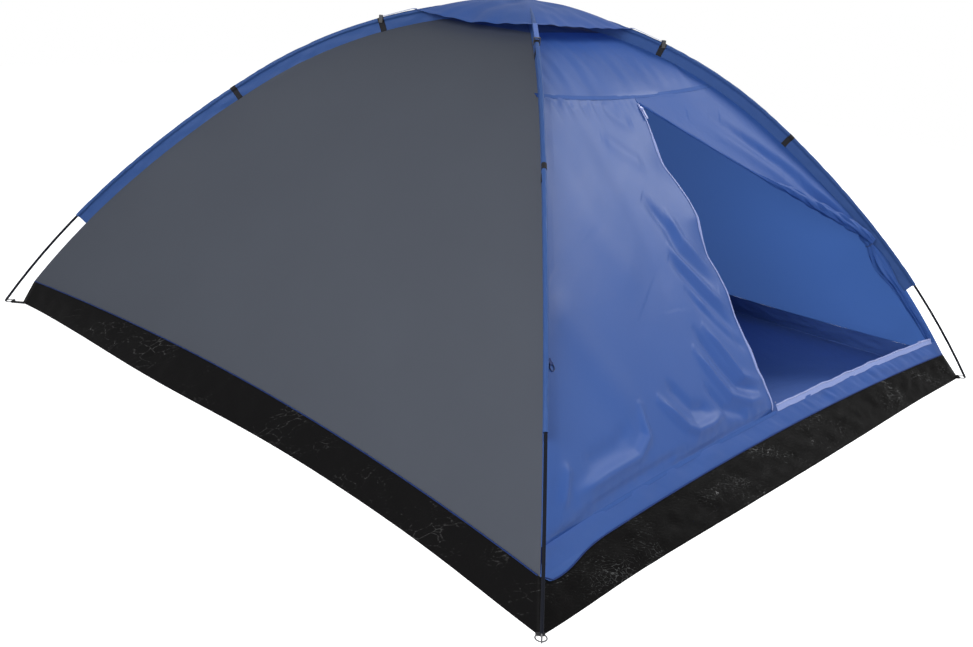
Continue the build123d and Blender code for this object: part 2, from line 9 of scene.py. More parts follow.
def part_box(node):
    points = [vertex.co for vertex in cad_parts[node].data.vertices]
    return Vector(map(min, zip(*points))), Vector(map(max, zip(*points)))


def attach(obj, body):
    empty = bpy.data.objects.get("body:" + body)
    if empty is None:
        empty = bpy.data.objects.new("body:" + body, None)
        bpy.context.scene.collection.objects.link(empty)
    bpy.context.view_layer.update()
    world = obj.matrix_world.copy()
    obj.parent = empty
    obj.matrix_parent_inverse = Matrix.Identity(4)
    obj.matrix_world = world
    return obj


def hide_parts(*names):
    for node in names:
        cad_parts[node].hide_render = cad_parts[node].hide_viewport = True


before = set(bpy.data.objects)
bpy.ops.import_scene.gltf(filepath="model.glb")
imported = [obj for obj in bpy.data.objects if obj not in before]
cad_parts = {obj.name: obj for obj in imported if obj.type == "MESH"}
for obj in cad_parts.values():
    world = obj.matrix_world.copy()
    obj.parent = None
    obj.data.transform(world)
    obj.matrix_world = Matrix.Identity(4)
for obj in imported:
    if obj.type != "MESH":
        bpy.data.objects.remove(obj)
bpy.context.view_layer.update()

# ---------------------------------------------------------------- camera
# A long-lens view from outside the front left corner, a little above the crown.
camera_place = Vector((-2.7551, -2.3877, 1.3714))
camera_yaw = math.radians(48.2386)
camera_pitch = math.radians(19.9804)
camera_roll = math.radians(5.2993)
ahead = Vector((
    math.sin(camera_yaw) * math.cos(camera_pitch),
    math.cos(camera_yaw) * math.cos(camera_pitch),
    -math.sin(camera_pitch),
))
level_right = Vector((math.cos(camera_yaw), -math.sin(camera_yaw), 0))
level_up = level_right.cross(ahead)
camera_right = math.cos(camera_roll) * level_right + math.sin(camera_roll) * level_up
camera_up = math.cos(camera_roll) * level_up - math.sin(camera_roll) * level_right
lens = bpy.data.cameras.new("Camera")
lens.sensor_width = 36
lens.lens = 38.996
lens.shift_x = 0.0076
lens.shift_y = 0.0041
lens.clip_end = 60
camera = bpy.data.objects.new("Camera", lens)
bpy.context.collection.objects.link(camera)
camera.matrix_world = Matrix.Translation(camera_place) @ Matrix((
    (camera_right.x, camera_up.x, -ahead.x),
    (camera_right.y, camera_up.y, -ahead.y),
    (camera_right.z, camera_up.z, -ahead.z),
)).to_4x4()
bpy.context.scene.camera = camera

# ---------------------------------------------------------------- studio
# A plain white floor and surround, a soft lamp at each side of the front and a weaker one before it.
# To other pieces the floor is duller than it looks, so that it doesn't light the cloth from below.


def add_node(tree, kind, inputs=None, **settings):
    """A shader node with its inputs set or linked; a node as an input stands for its first output."""
    made = tree.nodes.new("ShaderNode" + kind)
    for name, value in settings.items():
        setattr(made, name, value)
    for name, value in (inputs or {}).items():
        if isinstance(value, bpy.types.Node):
            value = value.outputs[0]
        if isinstance(value, bpy.types.NodeSocket):
            tree.links.new(value, made.inputs[name])
        else:
            made.inputs[name].default_value = value
    return made


def add_maths(tree, operation, *values):
    return add_node(tree, "Math", dict(enumerate(values)), operation=operation)


def remap(tree, value, start=(0.0, 1.0), end=(0.0, 1.0)):
    """A value carried from one range to another."""
    return add_node(tree, "MapRange", {"Value": value, "From Min": start[0], "From Max": start[1],
                                       "To Min": end[0], "To Max": end[1]})


def mix_colours(tree, share, first, second):
    """The colour between two, each a socket or three numbers."""
    first, second = (c if isinstance(c, bpy.types.NodeSocket) else (*c, 1) for c in (first, second))
    return add_node(tree, "Mix", {0: share, 6: first, 7: second}, data_type="RGBA").outputs[2]


def add_bump(tree, height, distance, strength, under=None, **settings):
    """Relief, over the relief of another bump node if one is given."""
    inputs = {"Height": height, "Distance": distance, "Strength": strength}
    if under is not None:
        inputs["Normal"] = under
    return add_node(tree, "Bump", inputs, **settings)


def skin_shader(tree, colour, roughness, relief, gloss=0.5, **more):
    """A principled shader; `gloss` is its specular level."""
    return add_node(tree, "BsdfPrincipled", {"Base Color": colour, "Roughness": roughness, "Normal": relief,
                                             "Specular IOR Level": gloss, **more})


def add_effect(tree, effect, place, **inputs):
    """One of the shared effects, at a place of the surface."""
    return add_node(tree, "Group", {"Place": place, **inputs}, node_tree=effect)


def cloth_chart(tree):
    """Places in metres along and across a cloth."""
    return add_node(tree, "UVMap", uv_map="Cloth").outputs[0]


def new_material(name):
    material = bpy.data.materials.new(name)
    material.use_nodes = True
    material.node_tree.nodes.clear()
    return material, material.node_tree


def seen_directly(tree):
    """One for what the camera sees straight, in a mirror or through glass, otherwise nought."""
    path = add_node(tree, "LightPath")
    direct = add_maths(tree, "MAXIMUM", path.outputs["Is Camera Ray"], path.outputs["Is Glossy Ray"])
    return add_maths(tree, "MAXIMUM", direct, path.outputs["Is Transmission Ray"]).outputs[0]


bpy.context.scene.view_settings.view_transform = "Standard"

floor_paint, tree = new_material("floor_paint")
seen = seen_directly(tree)
pale = add_node(tree, "BsdfDiffuse", {"Color": (0.42, 0.42, 0.43, 1)})
white = add_node(tree, "BsdfDiffuse", {"Color": (1.0, 1.0, 1.0, 1)})
lift = add_node(tree, "Emission", {"Color": (1, 1, 1, 1), "Strength": 0.64})
bright = add_node(tree, "AddShader", {0: white, 1: lift})
mixed = add_node(tree, "MixShader", {0: seen, 1: pale, 2: bright})
add_node(tree, "OutputMaterial", {"Surface": mixed})
floor_mesh = bpy.data.meshes.new("studio_floor")
floor_end = 7
floor_corners = [(x * floor_end, y * floor_end, 0) for x, y in ((-1, -1), (1, -1), (1, 1), (-1, 1))]
floor_mesh.from_pydata(floor_corners, [], [(0, 1, 2, 3)])
studio_floor = bpy.data.objects.new("studio_floor", floor_mesh)
bpy.context.collection.objects.link(studio_floor)
floor_mesh.materials.append(floor_paint)

world = bpy.data.worlds.new("surround")
bpy.context.scene.world = world
world.use_nodes = True
tree = world.node_tree
tree.nodes.clear()
seen = seen_directly(tree)
dim = add_node(tree, "Background", {"Color": (0.93, 0.96, 1.0, 1), "Strength": 0.36})
plain = add_node(tree, "Background", {"Color": (1, 1, 1, 1), "Strength": 1.0})
mixed = add_node(tree, "MixShader", {0: seen, 1: dim, 2: plain})
add_node(tree, "OutputWorld", {"Surface": mixed})


def soft_lamp(name, place, aim, across, power):
    """A round area lamp turned to a point."""
    lamp = bpy.data.lights.new(name, "AREA")
    lamp.shape = "DISK"
    lamp.size = across
    lamp.energy = power
    holder = bpy.data.objects.new(name, lamp)
    bpy.context.collection.objects.link(holder)
    holder.location = place
    holder.rotation_euler = (Vector(aim) - Vector(place)).to_track_quat("-Z", "Y").to_euler()


soft_lamp("right_lamp", (4.2, -2.1, 4.0), (0, -0.6, 0.6), 2.2, 215)
soft_lamp("left_lamp", (-4.6, -1.6, 2.6), (-0.6, 0, 0.5), 2.4, 204)
soft_lamp("front_lamp", (-0.5, -6.0, 1.6), (0.2, 0, 0.4), 2.4, 60)

# ---------------------------------------------------------------- poles
# Each pole is seven hollow fibreglass rods pushed together by steel ferrules, with an
# elastic cord inside.  Bent into the tent it is stiff at the joints and rounder between them.
rod_bends = ((0.317, 13.9), (0.634, 21.5), (0.634, 9.0), (0.624, 10.5))
pole_along = [0.0]
pole_reach = [0.0]
pole_height = [0.0]
pole_slope = [0.0]
for rod, bend in rod_bends:
    bend_radius = rod / math.radians(bend)
    first_slope = pole_slope[-1]
    first_reach = pole_reach[-1]
    first_height = pole_height[-1]
    first_along = pole_along[-1]
    for part_way in np.linspace(0, 1, 200)[1:]:
        now_slope = first_slope + math.radians(bend) * part_way
        pole_along.append(first_along + rod * part_way)
        pole_slope.append(now_slope)
        pole_reach.append(first_reach + bend_radius * (math.sin(now_slope) - math.sin(first_slope)))
        pole_height.append(first_height + bend_radius * (math.cos(now_slope) - math.cos(first_slope)))
foot_height = 0.008
pole_height = np.array(pole_height) - pole_height[-1] + foot_height
pole_reach = np.array(pole_reach)
pole_along = np.array(pole_along)
pole_slope = np.array(pole_slope)
crossing_lift = 0.0103
plan_angle = 46.2
arm_turn = {
    "front_left": 180 + plan_angle, "front_right": -plan_angle,
    "back_right": plan_angle, "back_left": 180 - plan_angle,
}
arm_lift = {"front_left": crossing_lift, "back_right": crossing_lift, "front_right": 0.0, "back_left": 0.0}


def beside_pole(along, inset=0.0, lift=0.0):
    """Reach and height of the curve that runs `inset` inside a pole, at a distance along it."""
    slope = np.interp(along, pole_along, pole_slope)
    reach = np.interp(along, pole_along, pole_reach) - inset * np.sin(slope)
    return reach, np.interp(along, pole_along, pole_height) - inset * np.cos(slope) + lift


def out_along_arm(arm, reach, across, height):
    """A point from its reach along an arm, its distance to the arm's left and its height."""
    turn = math.radians(arm_turn[arm])
    return np.stack([
        reach * math.cos(turn) - across * math.sin(turn),
        reach * math.sin(turn) + across * math.cos(turn),
        height,
    ], axis=-1)


def effect_group(name, inputs, outputs):
    """An empty shader node group with named float, colour or vector sockets."""
    kinds = {"value": "NodeSocketFloat", "colour": "NodeSocketColor", "vector": "NodeSocketVector"}
    group = bpy.data.node_groups.new(name, "ShaderNodeTree")
    for label, kind, start in inputs:
        socket = group.interface.new_socket(label, in_out="INPUT", socket_type=kinds[kind])
        if start is not None:
            socket.default_value = start
    for label, kind in outputs:
        group.interface.new_socket(label, in_out="OUTPUT", socket_type=kinds[kind])
    return group, group.nodes.new("NodeGroupInput").outputs, group.nodes.new("NodeGroupOutput").inputs


# Fine scuffs and grime: a mask of broken streaks over broad patches; on the coated sheets it also places the
# painted glints.
scuffs, given, put = effect_group(
    "scuffs", [("Place", "vector", None), ("Scale", "value", 1.0), ("Amount", "value", 0.5)],
    [("Mask", "value"), ("Height", "value")])
patches = add_node(scuffs, "TexNoise", {"Vector": given["Place"], "Scale": 6.0, "Detail": 3.0})
fine_place = add_node(scuffs, "VectorMath", {0: given["Place"], "Scale": given["Scale"]}, operation="SCALE")
grain = add_node(scuffs, "TexNoise", {"Vector": fine_place, "Scale": 400.0, "Detail": 4.0, "Roughness": 0.7})
both = add_maths(scuffs, "MULTIPLY", patches, grain)
spread = remap(scuffs, both, (0.2, 0.36))
scaled = add_maths(scuffs, "MULTIPLY", spread, given["Amount"])
scuffs.links.new(scaled.outputs[0], put["Mask"])
scuffs.links.new(grain.outputs[0], put["Height"])


def hard_finish(name, dark, light, roughness, metallic, scale=1.0, bump=0.0002, gloss=0.5):
    """Scuffed plastic, fibreglass or metal: two shades, and roughness that follows the scuffs."""
    material, tree = new_material(name)
    place = add_node(tree, "TexCoord").outputs["Object"]
    scuffs_and_painted_glints = add_effect(tree, scuffs, place, Scale=scale, Amount=0.8)
    shade = mix_colours(tree, scuffs_and_painted_glints.outputs["Mask"], dark, light)
    rough = remap(tree, scuffs_and_painted_glints.outputs["Mask"], end=(roughness, min(1.0, roughness + 0.2)))
    relief = add_bump(tree, scuffs_and_painted_glints.outputs["Height"], bump, 0.5)
    skin = skin_shader(tree, shade, rough, relief, gloss, Metallic=metallic)
    add_node(tree, "OutputMaterial", {"Surface": skin})
    return material


def dress(nodes, material):
    """Give CAD nodes their finish."""
    for name in nodes:
        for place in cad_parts[name].material_slots:
            place.material = material


rods = ("crown_rod", "shoulder_rods", "flank_rods", "foot_rods")
dress([f"pole_{pole}_{rod}" for pole in "ab" for rod in rods],
      hard_finish("wound_fibreglass", (0.005, 0.006, 0.010), (0.009, 0.010, 0.015), 0.60, 0.0, gloss=0.06))
dress(["pole_a_ferrules", "pole_b_ferrules"],
      hard_finish("drawn_steel", (0.30, 0.31, 0.32), (0.42, 0.43, 0.45), 0.32, 1.0))
dress(["pole_a_shock_cord", "pole_b_shock_cord"],
      hard_finish("cord_cover", (0.02, 0.02, 0.02), (0.05, 0.05, 0.05), 0.8, 0.0))

# ---------------------------------------------------------------- groundsheet
# The floor and the low black walls round it are one sheet of coated, woven polyethylene.
# It is stiff and never lies quite flat, so its walls are full of small glossy creases.
tub_height = 0.088
header_height = 0.972
web_reach = 0.038
vent_height = float(beside_pole(0.276, web_reach)[1])
seam_reach, seam_height = beside_pole(pole_along, web_reach)
wall_turn = {"front": 0, "right": 90, "back": 180, "left": 270}
base_bow = {"front": -0.012, "right": 0.065, "back": 0.003, "left": 0.065}
rim_sag = {"front": 0.045, "right": 0.095, "back": 0.060, "left": 0.095}
header_sag = 0.034
vent_sag = 0.012
zip_bulge = 0.030


def clamped(value):
    """The value, kept from nought to one."""
    return np.clip(value, 0, 1)


def falloff(distance, reach):
    """One at no distance, fading smoothly over about a reach."""
    return np.exp(-(distance / reach) ** 2)


def loose_between(share, steepness):
    """One between the ends of a wall, where share is -1 and 1, and nought at the ends that hold it."""
    return np.minimum(1, (1 - share**2) * steepness)


def one_long(vectors):
    """The same directions, each one metre long."""
    return vectors / np.linalg.norm(vectors, axis=-1, keepdims=True)


def seam_span(wall, height):
    """Half width of a wall between its seams at a height, and how far out the seams are."""
    reach = np.interp(height, seam_height[::-1], seam_reach[::-1])
    along_x = reach * math.cos(math.radians(plan_angle))
    along_y = reach * math.sin(math.radians(plan_angle))
    return (along_y, along_x) if wall in ("left", "right") else (along_x, along_y)


rim_out = seam_span("front", tub_height)[1] - rim_sag["front"]
header_out = seam_span("front", header_height)[1] - header_sag
chord_out = header_out - rim_out
chord_up = header_height - tub_height
chord = math.hypot(chord_out, chord_up)
zip_radius = chord**2 / (8 * zip_bulge) + zip_bulge / 2
zip_centre_out = (rim_out + header_out) / 2 - chord_up / chord * (zip_radius - zip_bulge)
zip_centre_height = (tub_height + header_height) / 2 + chord_out / chord * (zip_radius - zip_bulge)


def wall_sag(wall, height):
    """How far the middle of a wall hangs in from the line between its seams."""
    low = base_bow[wall] + (rim_sag[wall] - base_bow[wall]) * clamped(height / tub_height)
    share = clamped((height - tub_height) / (vent_height - tub_height))
    high = vent_sag + (rim_sag[wall] - vent_sag) * (1 - share**2)
    if wall == "front":
        middle = zip_centre_out + np.sqrt(zip_radius**2 - (height - zip_centre_height) ** 2)
        to_vent = clamped((height - header_height) / (vent_height - header_height))
        high = np.where(height <= header_height, seam_span(wall, height)[1] - middle,
                        header_sag + (vent_sag - header_sag) * to_vent)
    return np.where(height <= tub_height, low, high)


# The tub is pegged by hand, so its corners are pulled out unevenly; the tied door also draws
# the seam beside it towards its pole.
corner_pull = {"front_left": 0.028, "front_right": 0.016, "back_right": 0.0, "back_left": -0.018}
seam_pull = {"front_left": 0.0, "front_right": 0.010, "back_right": 0.0, "back_left": 0.0}


def pulled(point):
    """The point moved with its corner and its seam."""
    for arm in corner_pull:
        heading = out_along_arm(arm, 1.0, 0.0, 0.0)
        reach = point @ heading
        aside = np.hypot(point[..., 0] - reach * heading[0], point[..., 1] - reach * heading[1])
        low = clamped(1 - point[..., 2] / tub_height) * falloff(aside, 0.20) * (reach > 0.9)
        tied = falloff(point[..., 2] - 0.45, 0.30) * falloff(aside, 0.07) * (reach > 0.3)
        point = point + heading * (corner_pull[arm] * low + seam_pull[arm] * tied)[..., None]
    return point


def on_side(wall, along, distance, height):
    """A point from its place along a wall, its distance from the tent's middle and its height."""
    turn = math.radians(wall_turn[wall])
    return np.stack([
        along * math.cos(turn) + distance * math.sin(turn),
        along * math.sin(turn) - distance * math.cos(turn),
        height + 0 * along,
    ], axis=-1)


def wall_point(wall, along, height):
    """A point of the taut cabin wall; along and height are in metres."""
    half, seam_out = seam_span(wall, height)
    distance = seam_out - wall_sag(wall, height) * (1 - (along / half) ** 2)
    if wall == "left":
        # The foot of this wall is pegged out further in its rear half.
        rear_pull = 0.030 * falloff(along / half + 0.3, 0.38)
        distance = distance + rear_pull * clamped(1 - height / tub_height)
    return pulled(on_side(wall, along, distance, height))


def rim_lobe(along):
    """How far the front wall's foot droops over the tub beside the near corner."""
    from_corner = along + seam_span("front", tub_height)[0]
    return 0.017 * falloff(from_corner - 0.06, 0.10) * clamped(from_corner / 0.03)


def wall_cloth(wall, along, height, push):
    """The wall with its cloth pushed out or in, square to its surface."""
    step = 0.002
    here = wall_point(wall, along, height)
    across = wall_point(wall, along + step, height) - here
    upward = wall_point(wall, along, height + step) - here
    return here + one_long(np.cross(across, upward)) * np.asarray(push)[..., None]


def ripples(across, up, size, seed, stretch=1.0):
    """Smooth uneven waves about nought, `size` metres from crest to crest, longer upwards by `stretch`."""
    chance = np.random.default_rng(seed)
    total = np.zeros(np.broadcast(across, up).shape)
    for _ in range(22):
        heading = chance.uniform(0, math.pi)
        pitch = 2 * math.pi / (size * chance.uniform(0.65, 1.7))
        total += np.sin(pitch * (across * math.cos(heading) + up / stretch * math.sin(heading))
                        + chance.uniform(0, 2 * math.pi))
    return total / 5


def cloth_mesh(name, grid, finishes, body="tent", weld=False):
    """A smooth sheet over rows of points, with a map in metres called Cloth, riding on a body."""
    rows, columns = grid.shape[:2]
    mesh = bpy.data.meshes.new(name)
    corners = [(r * columns + c, r * columns + c + 1, (r + 1) * columns + c + 1, (r + 1) * columns + c)
               for r in range(rows - 1) for c in range(columns - 1)]
    mesh.from_pydata(grid.reshape(-1, 3).tolist(), [], corners)
    run = np.zeros((rows, columns))
    run[:, 1:] = np.cumsum(np.linalg.norm(np.diff(grid, axis=1), axis=2), axis=1)
    rise = np.zeros((rows, columns))
    rise[1:] = np.cumsum(np.linalg.norm(np.diff(grid, axis=0), axis=2), axis=0)
    run -= run[:, columns // 2:columns // 2 + 1]
    chart = mesh.uv_layers.new(name="Cloth")
    flat = np.stack([run.ravel(), rise.ravel()], axis=1)
    chart.data.foreach_set("uv", flat[np.array(corners).ravel()].ravel().astype(np.float32))
    piece = bpy.data.objects.new(name, mesh)
    bpy.context.collection.objects.link(piece)
    for finish in finishes:
        mesh.materials.append(finish)
    if weld:
        joined = piece.modifiers.new("weld", "WELD")
        joined.merge_threshold = 0.0002
    mesh.shade_smooth()
    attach(piece, body)
    return piece


# Woven threads: a small over-and-under relief, from a map in metres.
weave, given, put = effect_group("weave", [("Place", "vector", None), ("Threads", "value", 2000.0)],
                                 [("Height", "value")])
apart = add_node(weave, "SeparateXYZ", {0: given["Place"]})
lines = []
for axis in (0, 1):
    turns = add_maths(weave, "MULTIPLY", apart.outputs[axis], given["Threads"])
    lines.append(add_maths(weave, "SINE", turns).outputs[0])
cross = add_maths(weave, "MULTIPLY", lines[0], lines[1])
over = add_maths(weave, "MULTIPLY_ADD", cross, 0.5, 0.5)
weave.links.new(over.outputs[0], put["Height"])

# Creased coating: sharp-edged facets of a sheet that has been folded and trodden on.
crazing, given, put = effect_group("crazing", [("Place", "vector", None), ("Scale", "value", 20.0)],
                                   [("Height", "value"), ("Ridge", "value")])
bent = add_node(crazing, "TexNoise", {"Vector": given["Place"], "Scale": 9.0, "Detail": 2.0})
push = add_node(crazing, "VectorMath", {0: bent.outputs["Color"], "Scale": 0.12}, operation="SCALE")
moved = add_node(crazing, "VectorMath", {0: given["Place"], 1: push}, operation="ADD")
facets = add_node(crazing, "TexVoronoi", {"Vector": moved, "Scale": given["Scale"]},
                  feature="DISTANCE_TO_EDGE")
ridge = remap(crazing, facets.outputs["Distance"], (0.0, 0.10), (1.0, 0.0))
swell = add_node(crazing, "TexNoise", {"Vector": moved, "Scale": given["Scale"], "Detail": 2.0})
sum_up = add_maths(crazing, "MULTIPLY_ADD", ridge, 0.35, swell)
crazing.links.new(sum_up.outputs[0], put["Height"])
crazing.links.new(ridge.outputs[0], put["Ridge"])


def coated_sheet(name, dark, light, roughness, crease, relief, gloss, lining):
    """Woven polyethylene with a shiny coat, and another colour on its back; crease ridges are painted paler,
    a painted highlight for glints.
    """
    material, tree = new_material(name)
    chart = cloth_chart(tree)
    threads = add_effect(tree, weave, chart, Threads=1300.0)
    folded = add_effect(tree, crazing, chart, Scale=crease)
    dusty = add_effect(tree, scuffs, chart, Scale=0.3)
    scuffs_and_painted_glints = add_maths(tree, "MULTIPLY", folded.outputs["Ridge"], dusty.outputs["Mask"])
    rough = remap(tree, dusty.outputs["Mask"], end=(roughness, roughness + 0.15))
    # Where crease ridges meet the scuff patches the base colour is painted paler: painted glints, with a
    # clear coat there as well.
    glint = remap(tree, scuffs_and_painted_glints, (0.20, 0.55))
    shade = mix_colours(tree, glint, dark, light)
    cloth = add_bump(tree, threads.outputs["Height"], 0.00015, 0.4)
    folds = add_bump(tree, folded.outputs["Height"], relief, 0.8, cloth)
    skin = skin_shader(tree, shade, rough, folds, gloss, **{"Coat Weight": glint, "Coat Roughness": 0.18})
    back = skin_shader(tree, (*lining, 1), rough, folds, 0.3)
    behind = add_node(tree, "NewGeometry").outputs["Backfacing"]
    either = add_node(tree, "MixShader", {0: behind, 1: back, 2: skin})
    add_node(tree, "OutputMaterial", {"Surface": either})
    return material


# The tub's inside is the floor's navy painted a little lighter, to offset the shade on the tub walls inside.
tub_lining = (0.062, 0.128, 0.37)
# The second colour of each sheet is its painted highlight for the crease glints, brightest on the front
# wall's tub_crumpled.
tub_black = coated_sheet("tub_black", (0.0040, 0.0038, 0.0040), (0.008, 0.0078, 0.0078),
                         0.46, 26.0, 0.0005, 0.03, tub_lining)
tub_crumpled = coated_sheet("tub_crumpled", (0.0036, 0.0034, 0.0034), (0.050, 0.053, 0.053),
                            0.46, 75.0, 0.0008, 0.02, tub_lining)
floor_navy = coated_sheet("floor_navy", (0.0040, 0.0038, 0.0040), (0.009, 0.0085, 0.008),
                          0.55, 7.0, 0.0012, 0.05, (0.055, 0.115, 0.34))

side_columns = 150
rim_rows = 22
share_along = np.linspace(-1, 1, side_columns + 1)
crease_strength = {"front": 0.95, "right": 0.6, "back": 0.7, "left": 0.25}
tub_rows = []
for height in np.linspace(tub_height, 0.0, rim_rows):
    level = np.full(side_columns + 1, height)
    ring = []
    for wall in wall_turn:
        along = share_along * seam_span(wall, level)[0]
        held = loose_between(share_along, 14) * math.sin(math.pi * height / tub_height * 0.94 + 0.12)
        creases = (0.0022 * ripples(along, level, 0.055, 11 + wall_turn[wall], 0.8)
                   + 0.0030 * ripples(along + 0.6 * level, level, 0.16, 12 + wall_turn[wall], 2.0)
                   - 0.0016 * np.abs(ripples(along - 0.9 * level, level, 0.09, 13 + wall_turn[wall], 1.4)))
        wall_ring = wall_cloth(wall, along, level, crease_strength[wall] * held * creases)
        ring.append(wall_ring[:-1])
    ring.append(ring[0][:1])
    tub_rows.append(np.concatenate(ring))
foot_ring = tub_rows[-1]
floor_lift = 0.0012
foot_ring[:, 2] = floor_lift
floor_swell = 0.0016
floor_shares = np.concatenate([[0.9993, 0.9980], np.linspace(0.99, 0.9, 5), np.linspace(0.9, 0.02, 34)[1:]])
for share in floor_shares:
    ring = foot_ring.copy()
    ring[:, :2] *= share
    lumps = 1 + np.tanh(ripples(ring[:, 0], ring[:, 1], 0.32, 31))
    ring[:, 2] += floor_swell * min(1.0, (1 - share) / 0.03) * lumps
    tub_rows.append(ring)
tub_grid = np.stack(tub_rows)
groundsheet = cloth_mesh("groundsheet_cloth", tub_grid, [tub_black, floor_navy, tub_crumpled], weld=True)
for index, face in enumerate(groundsheet.data.polygons):
    row, column = divmod(index, tub_grid.shape[1] - 1)
    face.material_index = 1 if row >= rim_rows - 1 else (2 if column < side_columns else 0)
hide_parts("groundsheet")

# ---------------------------------------------------------------- plain walls
# The grey wall and the two blue ones are single panels of thin polyester taffeta, sewn at the
# seams and hung taut from the poles.  Light comes through them, and the seams pull faint lines.

# Thin dyed taffeta: uneven dye, fine slubs along the warp and a few specks.
dyed, given, put = effect_group(
    "uneven_dye", [("Place", "vector", None), ("Colour", "colour", (0.1, 0.2, 0.5, 1)),
                   ("Pale", "colour", (0.2, 0.3, 0.6, 1)), ("Slubs", "value", 0.3)],
    [("Colour", "colour"), ("Mask", "value")])
broad = add_node(dyed, "TexNoise", {"Vector": given["Place"], "Scale": 2.6, "Detail": 3.0})
drawn_out = add_node(dyed, "VectorMath", {0: given["Place"], 1: (420.0, 60.0, 1.0)}, operation="MULTIPLY")
slub = add_node(dyed, "TexNoise", {"Vector": drawn_out, "Scale": 1.0, "Detail": 2.0})
slub_part = add_maths(dyed, "SUBTRACT", slub, 0.5)
slub_part = add_maths(dyed, "MULTIPLY", slub_part, given["Slubs"])
mixed_up = add_maths(dyed, "ADD", broad, slub_part)
mask = remap(dyed, mixed_up, (0.25, 0.75))
tone = mix_colours(dyed, mask, given["Colour"], given["Pale"])
dyed.links.new(tone, put["Colour"])
dyed.links.new(mask.outputs[0], put["Mask"])

# Soft creases left by packing: a low swell with a few straight fold lines.
crumple, given, put = effect_group(
    "soft_creases", [("Place", "vector", None), ("Scale", "value", 12.0)], [("Height", "value")])
swell = add_node(crumple, "TexNoise", {"Vector": given["Place"], "Scale": given["Scale"], "Detail": 3.0,
                                       "Roughness": 0.45, "Distortion": 0.6})
crumple.links.new(swell.outputs[0], put["Height"])


def taffeta(name, colour, pale, through, glow, roughness=0.45, crease=0.0012, crease_scale=12.0, gloss=0.3):
    """Thin woven polyester; `through` is the colour of the light it lets by, and `glow` how much of it."""
    material, tree = new_material(name)
    chart = cloth_chart(tree)
    dye = add_effect(tree, dyed, chart, Colour=(*colour, 1), Pale=(*pale, 1))
    threads = add_effect(tree, weave, chart, Threads=7000.0)
    soft = add_effect(tree, crumple, chart, Scale=crease_scale)
    rough = remap(tree, dye.outputs["Mask"], end=(roughness, roughness + 0.12))
    cloth = add_bump(tree, threads.outputs["Height"], 0.00006, 0.5)
    folds = add_bump(tree, soft.outputs["Height"], crease, 0.7, cloth)
    skin = skin_shader(tree, dye.outputs["Colour"], rough, folds, gloss)
    lit = add_node(tree, "BsdfTranslucent", {"Color": (*through, 1), "Normal": folds})
    both = add_node(tree, "MixShader", {0: glow, 1: skin, 2: lit})
    add_node(tree, "OutputMaterial", {"Surface": both})
    return material


grey_taffeta = taffeta("grey_taffeta", (0.068, 0.075, 0.092), (0.074, 0.082, 0.100), (0.10, 0.11, 0.14), 0.10,
                       roughness=0.75, crease=0.0003, crease_scale=5.0, gloss=0.1)
front_blue = ((0.034, 0.100, 0.345), (0.044, 0.118, 0.385), (0.078, 0.168, 0.50), 0.30)
blue_taffeta = taffeta("blue_taffeta", *front_blue)


def eased(share):
    """A share that starts and ends gently."""
    return share * share * (3 - 2 * share)


def crease_line(across, up, path, width, depth, ends=0.2):
    """A fold that follows a path on a wall: how far it stands out at each place."""
    best = np.full(np.broadcast(across, up).shape, 9.0)
    share = np.zeros(best.shape)
    lengths = [math.dist(a, b) for a, b in zip(path, path[1:])]
    gone = 0.0
    for (ax, az), (bx, bz), length in zip(path, path[1:], lengths):
        t = clamped(((across - ax) * (bx - ax) + (up - az) * (bz - az)) / length**2)
        apart = np.hypot(across - ax - t * (bx - ax), up - az - t * (bz - az))
        nearer = apart < best
        best = np.where(nearer, apart, best)
        share = np.where(nearer, (gone + t * length) / sum(lengths), share)
        gone += length
    fade = eased(clamped(np.minimum(share, 1 - share) / ends))
    beyond_ends = np.where((share > 0) & (share < 1), 1, 0.25)
    return depth * (0.25 + 0.75 * fade) * falloff(best, width) * beyond_ends


seam_gap = 0.0003


def wall_panel(wall, bottom, top, columns, rows, push):
    """Rows of points over a wall between its seams, from a bottom height to a top one."""
    share, level = np.meshgrid(np.linspace(-1, 1, columns), np.linspace(0, 1, rows))
    height = bottom + (top - bottom) * level
    along = share * (seam_span(wall, height)[0] - seam_gap)
    return wall_cloth(wall, along, height, push(share, along, height))


def seam_pulls(share, along, height, seed):
    """Faint lines that the side seams pull into a wall, and a slack lower edge."""
    near_seam = falloff(1 - np.abs(share), 0.10)
    held = loose_between(share, 20) * clamped((height
                                               - tub_height) / 0.03) * clamped((vent_height - height) / 0.03)
    pulls = 0.0016 * near_seam * ripples(height, along * 0.4, 0.075, seed)
    slack = 0.0030 * falloff(height - tub_height, 0.10) * ripples(along, height, 0.14, seed + 1, 2.5)
    broad = 0.0045 * ripples(along, height, 0.55, seed + 2, 1.6)
    return held * (pulls + slack + broad)


# The right wall is the front's blue taffeta painted darker and with less glow: painted shade for the dimmer
# light on its inside, seen through the door.
far_taffeta_painted_shade = taffeta("far_taffeta_painted_shade", (0.031, 0.092, 0.305), (0.039, 0.106, 0.335), (0.064, 0.146, 0.42), 0.28)
plain_walls = (("left", grey_taffeta, "grey_cloth", 41, 0.35), ("right", far_taffeta_painted_shade, "blue_cloth", 42, 1.0),
               ("back", blue_taffeta, "blue_cloth", 43, 1.0))
for wall, finish, cloth_slot, seed, slackness in plain_walls:
    grid = wall_panel(wall, tub_height, vent_height, 150, 130,
                      lambda share, along, height: slackness * seam_pulls(share, along, height, seed))
    panel = cloth_mesh(f"{wall}_wall_cloth", grid, [finish])
    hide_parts(f"{wall}_wall")
    half = seam_span(wall, tub_height)[0]

# ---------------------------------------------------------------- front panel
# The fixed half of the front wall hangs from the header seam and is slack towards the door, so
# it billows over the sill seam and falls into long folds that end at the zip.
sill_height = tub_height + 0.050
door_edge = 0.020
door_top = 0.941
sill_billow = 0.013


